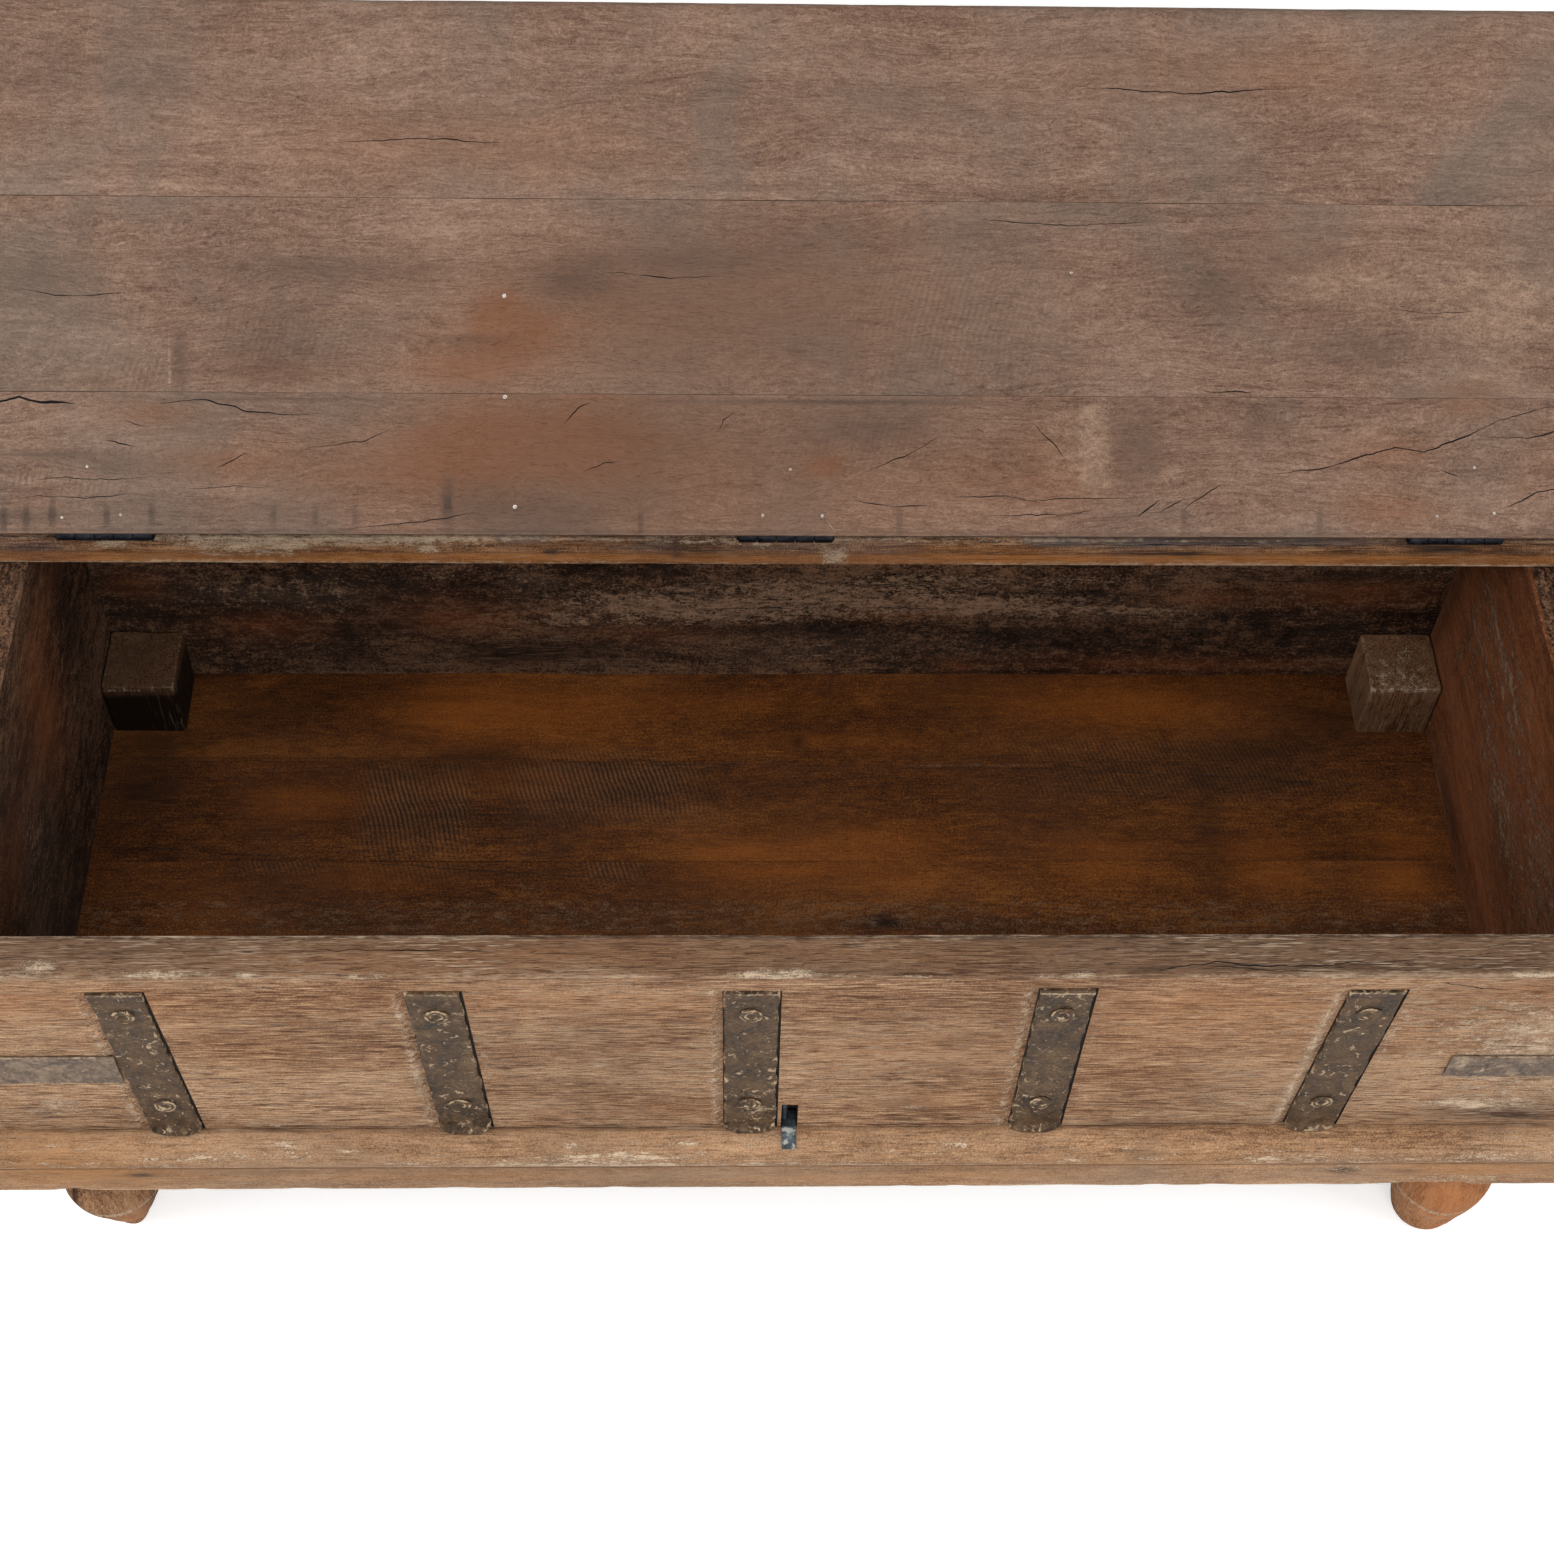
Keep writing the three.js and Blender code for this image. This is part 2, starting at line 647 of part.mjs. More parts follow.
// Two straps across the top of the lid hold its planks together.
function addLidStraps() {
  const half = strapWidth / 2;
  const inner = half - strapCornerRadius;
  const rear = -lidGap / 2 - lidStrapMargin;
  const front = -lidGap / 2 - lidWidth + lidStrapMargin;
  for (const [name, side] of Object.entries({ left: -1, right: 1 })) {
    const outline = new THREE.Shape();
    outline.absarc(-inner, front + strapCornerRadius, strapCornerRadius, Math.PI, 1.5 * Math.PI);
    outline.absarc(inner, front + strapCornerRadius, strapCornerRadius, 1.5 * Math.PI, 2 * Math.PI);
    outline.absarc(inner, rear - strapCornerRadius, strapCornerRadius, 0, Math.PI / 2);
    outline.absarc(-inner, rear - strapCornerRadius, strapCornerRadius, Math.PI / 2, Math.PI);
    const strapPlate = new THREE.ExtrudeGeometry(outline, {
      depth: lidStrapThickness,
      bevelEnabled: false,
      curveSegments: strapSteps,
    });
    const place = lidStrapShift + side * lidStrapShare * outerHinge;
    strapPlate.translate(place, 0, -knuckleRadius);
    add(lid, `lid_strap_${name}`, strapPlate, finishes.strap());
  }
}

addFloor();
addWalls();
addLegs();
addMoulding();
addStraps();
addFrontIron();
addFixedTop();
addHinges();
addLidPlanks();
addLidStraps();
chest.add(lid);

// The origin goes to the middle of the underside of the trunk's bounding box, with the lid open.
const trunk = new THREE.Group();
trunk.add(chest);
trunk.updateMatrixWorld(true);
const bounds = new THREE.Box3().setFromObject(trunk, true);
const middle = bounds.getCenter(new THREE.Vector3());
chest.position.set(-middle.x, -middle.y, -bounds.min.z);

export default trunk;
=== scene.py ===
# %% [markdown]
# # Dressing a storage trunk made of reclaimed wood
# The trunk is a low plank chest on turned feet, with its lid open. The frame that is loaded here holds
# every piece at its real size, as plain solids. This lesson keeps each piece where it is and gives it
# what a plain solid lacks: worn arrises, splits, hammered iron, and finishes made of shader nodes.

# %% Load the frame and keep its box
import json
import math

import bmesh
import bpy
import numpy as np
from mathutils import Matrix, Vector


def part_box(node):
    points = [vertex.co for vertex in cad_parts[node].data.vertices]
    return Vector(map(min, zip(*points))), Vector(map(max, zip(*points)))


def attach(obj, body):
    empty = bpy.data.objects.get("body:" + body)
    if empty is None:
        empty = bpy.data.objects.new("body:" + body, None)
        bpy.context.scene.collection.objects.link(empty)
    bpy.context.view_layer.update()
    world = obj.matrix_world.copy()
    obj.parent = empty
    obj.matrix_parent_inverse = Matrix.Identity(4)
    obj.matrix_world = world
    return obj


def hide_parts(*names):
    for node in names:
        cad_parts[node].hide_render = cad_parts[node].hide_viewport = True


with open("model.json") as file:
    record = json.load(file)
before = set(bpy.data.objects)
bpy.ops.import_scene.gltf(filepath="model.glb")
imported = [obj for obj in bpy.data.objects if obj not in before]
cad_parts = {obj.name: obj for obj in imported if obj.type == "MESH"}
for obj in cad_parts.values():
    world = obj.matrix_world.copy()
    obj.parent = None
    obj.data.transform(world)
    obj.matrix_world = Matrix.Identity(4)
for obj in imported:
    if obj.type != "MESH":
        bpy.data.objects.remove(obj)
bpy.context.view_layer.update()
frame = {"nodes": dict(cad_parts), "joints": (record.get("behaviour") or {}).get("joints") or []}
mm = 0.001

# %% [markdown]
# ## The camera
# A photograph fixes a camera's place, its direction and its lens. Here the direction is given the way a
# photographer would set it: turned a little to the right, tipped well down, and rolled by two degrees.
# Blender's camera looks along its own -Z, so the three axes of its matrix are worked out from that.

# %% Place the camera
def add_object(name, data):
    """A new object that holds the data, linked to the scene."""
    thing = bpy.data.objects.new(name, data)
    bpy.context.scene.collection.objects.link(thing)
    return thing


def add_camera(place, turn, tip, roll, lens):
    """A camera from its place, three angles in degrees and its focal length in millimetres."""
    turn, tip, roll = (math.radians(angle) for angle in (turn, tip, roll))
    ahead = Vector((math.sin(turn) * math.cos(tip), math.cos(turn) * math.cos(tip), -math.sin(tip)))
    level = Vector((math.cos(turn), -math.sin(turn), 0))
    down = ahead.cross(level)
    across = level * math.cos(roll) + down * math.sin(roll)
    below = down * math.cos(roll) - level * math.sin(roll)
    data = bpy.data.cameras.new("camera")
    data.lens = lens
    camera = add_object("camera", data)
    camera.matrix_world = Matrix((across, -below, -ahead)).transposed().to_4x4()
    camera.location = place
    bpy.context.scene.camera = camera
    return camera


camera = add_camera((-0.04926, -0.98844, 1.64358), turn=2.78, tip=54.923, roll=-2.299, lens=54.155)
print("camera at", [round(value, 3) for value in camera.location])

# %% [markdown]
# ## Writing materials in short lines
# A node material is a small program. Making each node by hand takes several lines, so this helper makes
# one node a line: it adds the node, links or sets its inputs, and hands back the output to use next.

# %% A helper for node materials
class Nodes:
    """Adds nodes to the tree of a material or a world."""

    def __init__(self, owner):
        owner.use_nodes = True
        self.tree = owner.node_tree

    def add(self, kind, inputs=(), output=0, **settings):
        """Adds a node with its inputs and settings, and hands back one of its outputs."""
        node = self.tree.nodes.new("ShaderNode" + kind)
        for key, value in settings.items():
            setattr(node, key, value)
        for key, value in dict(inputs).items():
            self.put(node.inputs[key], value)
        return node.outputs[output] if node.outputs else None

    def put(self, socket, value):
        if isinstance(value, bpy.types.NodeSocket):
            self.tree.links.new(value, socket)
        else:
            socket.default_value = value

    def surface(self, **inputs):
        """Sets or links inputs of the Principled shader: Base_Color stands for Base Color."""
        for key, value in inputs.items():
            self.put(self.tree.nodes["Principled BSDF"].inputs[key.replace("_", " ")], value)

    def math(self, operation, a, b=0.0, clamp=False):
        return self.add("Math", {0: a, 1: b}, operation=operation, use_clamp=clamp)

    def plus(self, a, b, clamp=False):
        return self.math("ADD", a, b, clamp)

    def minus(self, a, b, clamp=False):
        return self.math("SUBTRACT", a, b, clamp)

    def times(self, a, b, clamp=False):
        return self.math("MULTIPLY", a, b, clamp)

    def centred(self, value, amount):
        """A noise of 0 to 1 as a swing around 0."""
        return self.times(self.minus(value, 0.5), amount)

    def stretch(self, vector, factors):
        return self.add("VectorMath", {0: vector, 1: factors}, operation="MULTIPLY")

    def shift(self, vector, other):
        return self.add("VectorMath", {0: vector, 1: other}, operation="ADD")

    def noise(self, vector, scale, detail=4.0, rough=0.55, warp=0.0, output=0):
        inputs = {"Vector": vector, "Scale": scale, "Detail": detail, "Roughness": rough, "Distortion": warp}
        return self.add("TexNoise", inputs, output)

    def step(self, value, low, high):
        """A soft step from 0 at `low` to 1 at `high`."""
        inputs = {"Value": value, "From Min": low, "From Max": high, "To Min": 0.0, "To Max": 1.0}
        return self.add("MapRange", inputs, interpolation_type="SMOOTHSTEP")

    def mix(self, share, a, b, blend="MIX"):
        inputs = {"Factor": share, 6: a, 7: b}
        return self.add("Mix", inputs, 2, data_type="RGBA", blend_type=blend)

    def ramp(self, value, stops):
        node = self.add("ValToRGB", {0: value}).node
        elements = node.color_ramp.elements
        for index, (place, color) in enumerate(stops):
            element = elements[index] if index < 2 else elements.new(place)
            element.position = place
            element.color = color
        return node.outputs[0]

    def painted(self, name, output):
        return self.add("Attribute", {}, output, attribute_name=name)

    def masks(self):
        """The warm, dark and dusty masks, as numbers. The second look is the alpha of the same paint."""
        return self.add("SeparateColor", {0: self.painted("paint", 0)}).node.outputs

    def bump(self, height, strength, distance):
        return self.add("Bump", {"Height": height, "Strength": strength, "Distance": distance})

    def seen(self):
        """1 for a ray that comes from the camera, straight or by way of gloss or glass."""
        paths = self.add("LightPath").node.outputs
        direct = self.plus(paths["Is Camera Ray"], paths["Is Glossy Ray"])
        return self.plus(direct, paths["Is Transmission Ray"], clamp=True)


print("node helpers:", ", ".join(name for name in vars(Nodes) if not name.startswith("_")))

# %% New materials, and colours by their values
def new_material(name):
    material = bpy.data.materials.new(name)
    return material, Nodes(material)


def tint(red, green, blue):
    """A colour as a paint chart gives it, 0 to 255, turned into the linear values that Blender uses."""
    parts = [channel / 255 for channel in (red, green, blue)]
    linear = [part / 12.92 if part <= 0.04045 else ((part + 0.055) / 1.055) ** 2.4 for part in parts]
    return (*linear, 1.0)


print("a mid brown is", [round(part, 3) for part in tint(165, 130, 100)])

# %% [markdown]
# ## Wood that has had a life
# Old boards show four things at once: fibres that run along the grain, pores as short dark dashes, broad
# bands where the rings rise to the face, and marks of use. The first three come from noise that is drawn
# out along the grain. The marks of use are painted on the mesh as four masks, so that they lie where the
# real ones do: warm, dark, dusty, and a second look, which is a cooler tone on most woods and the ripples
# of a planer on the lid and the floor, painted as bars of light and shade. In a few places the same masks
# also carry painted light and shade. A fifth value, the wear, grows towards each arris, where dust and
# pale bruised fibres collect.

# %% The wood material
def wood(name, tones, warm, dark, dust, cool, lines=1.0, waves=0.3, broad=0.8, pores=0.5, grit=0.5, curl=0.0,
         cloud=0.9, mottled=0.6, hue=0.4, limed=0.3, flaky=1.0, crust=0.9, ripple=0.0, edge=0.5, rough=0.78,
         relief=1.0, fine=1.0, flake=(90.0, 210.0), ripple_light_shade=(0.12, 0.3), speck=900.0, crisp=(0.28, 0.95),
         sheen=0.15):
    """A wood finish. `tones` are its dark, middle and pale fibres, and the next four colours are what the
    masks bring, all from 0 to 255. The other values say how strong a trait is, and 0 leaves it out, apart
    from `fine`, `flake` and `speck`, which say how fine a noise is, and `ripple`, a length in metres."""
    material, n = new_material(name)
    tones = [tint(*tone) for tone in tones]
    warm, dark, dust, cool = (tint(*color) for color in (warm, dark, dust, cool))
    straight = n.painted("grain", 1)
    warmth, darkness, dustiness = n.masks()
    second, wear = n.painted("paint", 3), n.painted("wear", 2)
    # No fibre is straight: the grain is bent sideways by a slow noise.
    sway = n.noise(n.stretch(straight, (7.0, 22.0, 22.0)), 1.0, 3.0, 0.5, output=1)
    sway = n.stretch(n.shift(sway, (-0.5, -0.5, -0.5)), (0.0, 0.03 * waves, 0.03 * waves))
    grain = n.shift(straight, sway)

    def along(vector, length, width, *settings):
        """Noise that is drawn out along the grain: so many lumps a metre along it and across it."""
        return n.noise(n.stretch(vector, (length, width, width)), 1.0, *settings)

    fibres = along(grain, 34.0 * fine, 620.0 * fine, 2.0, 0.6)
    bands = along(grain, 4.5, 75.0, 6.0, 0.66)
    blotch = along(straight, 4.0, 12.0, 5.0, 0.62, 0.5)
    clouds = n.noise(n.shift(straight, (3.7, 1.9, 0.6)), 6.5, 3.0, 0.55, 0.8)
    specks = n.noise(straight, speck, 3.0, 0.7)
    mottle = along(straight, 75.0, 130.0, 6.0, 0.72, 0.3)
    curls = along(grain, 170.0, 430.0, 3.0, 0.65, 1.4)
    pore = n.step(along(grain, 115.0, 1500.0, 2.0, 0.6), 0.60, 0.68)
    cut = n.step(along(grain, 24.0 * fine, 520.0 * fine, 2.0, 0.6, 0.3), 0.56, 0.68)

    tone = n.plus(0.5, n.centred(fibres, 1.5 * lines))
    for value, amount in ((bands, 1.5 * broad), (blotch, 1.1 * cloud), (specks, 2.0 * grit),
                          (curls, 1.6 * curl), (mottle, 1.6 * mottled)):
        if amount:
            tone = n.plus(tone, n.centred(value, amount))
    tone = n.minus(tone, n.times(cut, 0.34 * lines), clamp=True)
    color = n.ramp(tone, [(0.05, tones[0]), (0.95, tones[2]), (0.5, tones[1])])
    color = n.mix(n.times(n.step(clouds, 0.40, 0.66), hue), color, n.mix(0.55, color, cool))

    def frayed(value, amount):
        """A painted mask with its soft rim broken up by the grain."""
        uneven = n.plus(n.centred(blotch, 1.6), n.centred(bands, 2.2 * amount))
        uneven = n.plus(uneven, n.centred(specks, 1.2 * amount))
        return n.times(value, n.plus(1.0, uneven), clamp=True)

    if ripple:
        # Chatter of the planer: soft bars across the grain, wherever the fourth mask lies, painted paler and
        # darker as the light and shade of the ripples.
        place = n.add("SeparateXYZ", {0: straight}).node.outputs
        phase = n.plus(n.times(place[0], 1.0 / ripple), n.times(place[1], 0.3 / ripple))
        phase = n.plus(phase, n.times(blotch, 3.0))
        bars = n.math("SINE", n.times(phase, 6.283))
        pale, deep = n.mix(ripple_light_shade[0], color, dust), n.mix(ripple_light_shade[1], color, dark)
        color = n.mix(frayed(second, 0.6), color, n.mix(n.step(bars, -0.6, 0.7), pale, deep))
    else:
        color = n.mix(frayed(second, 0.4), color, n.mix(0.6, color, cool))
    color = n.mix(frayed(warmth, 0.8), color, n.mix(0.3, warm, color))
    color = n.mix(frayed(darkness, 1.0), color, n.mix(0.16, dark, color))
    color = n.mix(n.times(n.step(darkness, 0.85, 1.0), 0.85), color, dark)
    # Dust and paste lie in flakes, more broken the lower their mask is.
    flakes = along(grain, *flake, 6.0, 0.72, 0.4)
    dusty = n.plus(dustiness, n.plus(n.centred(flakes, 2.6 * flaky), n.centred(specks, 0.9 * flaky)))
    dusty = n.times(n.step(dusty, *crisp), n.step(dustiness, 0.02, 0.35))
    paste = n.step(n.plus(mottle, n.centred(specks, 0.8)), 0.36, 0.64)
    paste = n.mix(paste, n.mix(0.5, dust, tones[0]), dust)
    color = n.mix(n.times(dusty, crust), color, paste)
    hollow = n.times(n.step(fibres, 0.47, 0.34), n.step(blotch, 0.38, 0.6))
    color = n.mix(n.times(hollow, limed), color, dust)
    color = n.mix(n.times(pore, pores), color, n.mix(0.8, color, tones[0], "MULTIPLY"))
    rub = n.plus(wear, n.plus(n.centred(flakes, 2.4), n.centred(blotch, 2.0)))
    color = n.mix(n.times(n.step(rub, 0.6, 1.25), edge), color, dust)
    height = n.minus(n.times(fibres, 0.5), n.times(cut, 0.45 * lines))
    height = n.minus(height, n.times(pore, 0.3 * pores))
    height = n.plus(height, n.times(specks, 0.3))
    height = n.plus(height, n.times(mottle, 1.2 * mottled))
    height = n.plus(height, n.times(dusty, n.times(flakes, 0.8)))
    if ripple:
        height = n.minus(height, n.times(n.times(second, bars), 0.25))
    n.surface(Base_Color=color, Roughness=n.minus(rough + 0.08, n.times(bands, 0.16)),
              Specular_IOR_Level=sheen, Normal=n.bump(height, 0.6 * relief, 1.0 * mm))
    return material

# %% The wood finishes of this trunk
woods = {
    "front_wood": wood("front wood", [(80, 49, 31), (144, 107, 78), (198, 165, 131)], (158, 102, 58),
                       (68, 47, 34), (208, 184, 156), (108, 84, 66), lines=1.5, waves=0.1, broad=0.35,
                       pores=0.8, grit=0.6, cloud=0.8, mottled=0.2, limed=0.5, edge=0.3, relief=1.5,
                       fine=1.5),
    "wall_wood": wood("wall wood", [(25, 15, 10), (73, 50, 35), (122, 89, 66)], (142, 80, 44), (14, 10, 9),
                      (152, 120, 96), (84, 70, 60), lines=0.5, waves=0.6, broad=0.6, grit=1.5, cloud=1.6,
                      mottled=1.7, hue=0.25, flaky=1.6, crust=0.9, edge=0.2, relief=2.4, flake=(120.0, 260.0),
                      speck=480.0, crisp=(0.42, 0.72), sheen=0.08),
    "floor_wood": wood("floor wood", [(34, 15, 4), (84, 46, 17), (126, 76, 32)], (148, 82, 28), (30, 18, 10),
                       (128, 100, 74), (84, 52, 34), lines=0.4, waves=0.7, broad=0.25, grit=1.0, curl=0.25,
                       cloud=1.3, mottled=0.6, limed=0.0, crust=0.6, ripple=3.7 * mm, edge=0.1, rough=0.62,
                       relief=1.0, ripple_light_shade=(0.3, 0.55), speck=600.0, sheen=0.13),
    "fixed_top_wood": wood("fixed top wood", [(52, 32, 19), (112, 76, 50), (166, 126, 92)], (150, 92, 40),
                           (40, 29, 23), (186, 162, 136), (88, 90, 96), lines=1.2, waves=0.2, broad=1.2,
                           grit=1.2, mottled=0.9, flaky=1.4, edge=0.6, rough=0.6, flake=(150.0, 300.0)),
    "lid_wood": wood("lid wood", [(78, 55, 43), (120, 93, 77), (156, 128, 110)], (116, 68, 36), (66, 52, 43),
                     (168, 140, 118), (94, 88, 80), lines=0.42, waves=1.3, broad=0.45, pores=0.45, grit=0.55,
                     curl=0.6, cloud=0.75, mottled=0.3, hue=0.8, limed=0.05, flaky=0.6, crust=0.6,
                     ripple=4.2 * mm, edge=0.07, relief=1.1, ripple_light_shade=(0.1, 0.2), sheen=0.22),
    "moulding_wood": wood("moulding wood", [(92, 62, 40), (151, 115, 84), (188, 152, 118)], (174, 118, 62),
                          (78, 54, 36), (208, 184, 156), (128, 108, 90), lines=0.7, waves=0.5, broad=0.5,
                          grit=0.9, mottled=0.5, limed=0.25, edge=0.7, rough=0.7, relief=1.2, flaky=1.4,
                          flake=(150.0, 420.0), crisp=(0.34, 0.8)),
    "leg_wood": wood("leg wood", [(80, 50, 32), (148, 107, 77), (188, 146, 110)], (170, 104, 56), (20, 11, 6),
                     (210, 190, 166), (54, 38, 25), lines=1.0, waves=0.5, broad=1.1, grit=1.1, mottled=0.6,
                     edge=0.18, limed=0.1, sheen=0.04),
}
print("wood finishes:", ", ".join(woods))

# %% [markdown]
# ## Iron that was heated, hammered and left to age
# Old wrought iron is not shiny: it wears a dark skin of scale and wax, and only high spots catch light.
# Dust and filler stay in the hollows. So the finish is a half-metal dark brown, made paler where a mask
# of dents says that dust lies, and paler too on the rubbed arrises.

# %% The iron material
def iron(name, tones, dust, rust, flecks=0.5, metal=0.35, rough=0.5, scale=1.0):
    """An iron finish. `tones` are the dark, middle and bright skin, and `flecks` says how much dust stays."""
    material, n = new_material(name)
    tones, dust, rust = [tint(*tone) for tone in tones], tint(*dust), tint(*rust)
    place = n.painted("grain", 1)
    _, darkness, dustiness = n.masks()
    wear = n.painted("wear", 2)
    skin = n.noise(place, 60.0 * scale, 6.0, 0.66, 0.8)
    fine = n.noise(place, 420.0 * scale, 4.0, 0.7)
    dents = n.noise(place, 150.0 * scale, 4.0, 0.62, 1.0)
    drips = n.noise(n.shift(place, (0.9, 0.2, 0.4)), 95.0 * scale, 4.0, 0.6, 1.6)
    tone = n.plus(0.5, n.plus(n.centred(skin, 1.9), n.centred(fine, 1.2)), clamp=True)
    color = n.ramp(tone, [(0.1, tones[0]), (0.9, tones[2]), (0.5, tones[1])])
    color = n.mix(n.times(n.step(drips, 0.52, 0.64), 0.45), color, rust)
    fleck = n.times(n.step(n.plus(dents, n.centred(fine, 0.25)), 0.60, 0.65), n.step(drips, 0.42, 0.54))
    color = n.mix(n.times(fleck, flecks), color, dust)
    powder = n.plus(dustiness, n.plus(n.centred(fine, 1.5), n.centred(dents, 1.3)))
    powder = n.times(n.step(powder, 0.35, 0.85), n.step(dustiness, 0.02, 0.3))
    color = n.mix(n.times(powder, 0.85), color, dust)
    color = n.mix(n.times(darkness, 0.9), color, n.mix(0.4, tones[0], color))
    rub = n.plus(wear, n.plus(n.centred(dents, 2.2), n.centred(drips, 1.8)))
    color = n.mix(n.times(n.step(rub, 0.75, 1.2), 0.6), color, dust)
    dull = n.plus(rough, n.centred(skin, 0.5))
    height = n.plus(n.times(dents, 0.9), n.times(fine, 0.4))
    dull = n.plus(dull, n.times(powder, 0.35), clamp=True)
    n.surface(Base_Color=color, Metallic=metal, Specular_IOR_Level=0.12, Roughness=dull,
              Normal=n.bump(height, 0.75, 1.5 * mm))
    return material


irons = {
    "strap_iron": iron("strap iron", [(30, 22, 14), (72, 55, 39), (104, 83, 61)], (182, 158, 130),
                       (82, 55, 32), flecks=0.8, metal=0.1),
    "band_iron": iron("band iron", [(52, 44, 38), (104, 88, 75), (146, 126, 107)], (176, 156, 134),
                      (112, 92, 74), flecks=0.3, metal=0.25, scale=0.8),
    "hinge_iron": iron("hinge iron", [(14, 14, 18), (30, 31, 37), (54, 56, 64)], (98, 92, 88), (46, 38, 34),
                       flecks=0.2, metal=0.6, rough=0.42),
    "tongue_iron": iron("tongue iron", [(24, 21, 18), (62, 69, 75), (104, 111, 115)], (176, 176, 168),
                        (58, 52, 46), flecks=0.5, metal=0.5, rough=0.5),
    "nail_iron": iron("nail iron", [(150, 142, 130), (190, 184, 174), (220, 216, 208)], (226, 222, 214),
                      (170, 150, 130), flecks=0.1, metal=0.3, rough=0.35),
}
print("iron finishes:", ", ".join(irons))

# %% [markdown]
# ## Noise for shaping
# Shader noise only colours a surface. To move its points, the script needs noise as numbers. This is the
# plainest kind: a random value at each corner of a cubic grid, blended smoothly in between. The values
# come from a fixed sum, so each run gives the same trunk.

# %% Smooth noise on points
def rumple(points, size, seed):
    """Smooth noise from -1 to 1 at each of the points, with lumps about `size` across."""
    scaled = np.asarray(points) / size + seed * 17.31
    cell = np.floor(scaled).astype(np.int64)
    part = scaled - cell
    part = part * part * (3 - 2 * part)
    total = np.zeros(len(scaled))
    for corner in np.ndindex(2, 2, 2):
        key = (cell + corner) @ np.array((73856093, 19349663, 83492791))
        key = (key ^ (key >> 13)) * 1274126177
        value = ((key ^ (key >> 16)) & 0xFFFF) / 32767.5 - 1
        total += value * np.prod(np.where(corner, part, 1 - part), axis=1)
    return total


print("noise at two points:", rumple([(0, 0, 0), (0.3, 0.2, 0.1)], 1.0, 1))

# %% [markdown]
# ## Boards as fine grids
# A worn arris can only be modelled where there are points to move. Each board is made as the surface of
# a box with a grid on it, whose lines crowd together near the arrises. There the points are drawn onto a
# round, whose radius changes along the board, so that the arris looks bruised and not machined.

# %% A box surface with a grid on it
ARRIS_LINES = np.array((0, 0.9, 2.2, 4.2, 7.0)) * mm
MEETING_REACH = 12 * mm  # how far from a neighbour an arris turns crisp


def grid_lines(low, high, step, also=()):
    """Places of grid lines from low to high, `step` apart in the middle and closer at both ends."""
    near = ARRIS_LINES[ARRIS_LINES < (high - low) * 0.45]
    inner = np.linspace(low + near[-1], high - near[-1], max(2, round((high - low) / step)))
    inner = np.array([line for line in inner if all(abs(line - other) > 0.8 * mm for other in also)])
    return np.sort(np.concatenate((low + near[:-1], inner, high - near[:-1][::-1], also)))


def box_surface(lines):
    """Points and quads on the surface of a box, from the grid lines along its three axes."""
    points, quads, start = [], [], 0
    for axis in range(3):
        a, b = (axis + 1) % 3, (axis + 2) % 3
        for end in (0, -1):
            across, up = np.meshgrid(lines[a], lines[b], indexing="ij")
            side = np.empty((across.size, 3))
            side[:, a], side[:, b], side[:, axis] = across.ravel(), up.ravel(), lines[axis][end]
            i, j = np.meshgrid(np.arange(len(lines[a]) - 1), np.arange(len(lines[b]) - 1), indexing="ij")
            row = len(lines[b])
            first = start + i.ravel() * row + j.ravel()
            quad = np.stack((first, first + row, first + row + 1, first + 1), axis=1)
            quads.append(quad if end else quad[:, ::-1])
            points.append(side)
            start += len(side)
    merged, index = np.unique(np.round(np.concatenate(points), 7), axis=0, return_inverse=True)
    return merged, index.ravel()[np.concatenate(quads)]


def distance_to(points, box, face):
    """How far each point lies from the plane of one face of a box."""
    axis, end = face
    return np.abs(points[:, axis] - box[end][axis])


def soften(points, low, high, ease, ragged, seed, meets=(), broken=None, nosing=None):
    """Draws the arrises of a box onto rounds: `ease` everywhere, and up to `ragged` more in places.
    Faces that meet a neighbour stay crisp, and the arris between the `broken` faces is chipped more."""
    inward = np.minimum(points - low, high - points)
    side = np.where(points - low < high - points, 1.0, -1.0)
    chips = np.clip(rumple(points, 34 * mm, seed), 0, 1) ** 2
    chips += 0.5 * np.clip(rumple(points, 9 * mm, seed + 1), 0, 1)
    radius = ease + ragged * chips
    if broken:
        first, second, extra = broken
        far = np.maximum(distance_to(points, (low, high), first), distance_to(points, (low, high), second))
        radius += extra * chips * (far < 14 * mm)
    if nosing:
        close = np.clip((14 * mm - distance_to(points, (low, high), nosing[0])) / (6 * mm), 0, 1)
        radius += close * (nosing[1] - ease)
    for face in meets:
        crisp = np.clip(distance_to(points, (low, high), face) / MEETING_REACH, 0, 1)
        radius = 0.04 * mm + (radius - 0.04 * mm) * crisp
    radius = radius[:, None]
    inset = np.clip(radius - inward, 0, None)
    length = np.linalg.norm(inset, axis=1, keepdims=True)
    shrink = np.where(length > radius, radius / np.maximum(length, 1e-9), 1.0)
    moved = np.where(inset > 0, radius - inset * shrink - inward, 0)
    return points + side * moved


def uneven(points, low, high, amount, seed):
    """Sinks each face a little, by hollows drawn out along the board, as a hand plane leaves them."""
    inward = np.minimum(points - low, high - points)
    side = np.where(points - low < high - points, 1.0, -1.0)
    hollow = (rumple(points, np.array((90, 26, 26)) * mm, seed) + 1) / 2
    return points + side * (inward < 1e-6) * (hollow * amount)[:, None]


block_points, block_quads = box_surface([grid_lines(0, size, 6 * mm) for size in (0.1, 0.05, 0.02)])
print("a small block has", len(block_points), "points and", len(block_quads), "quads")
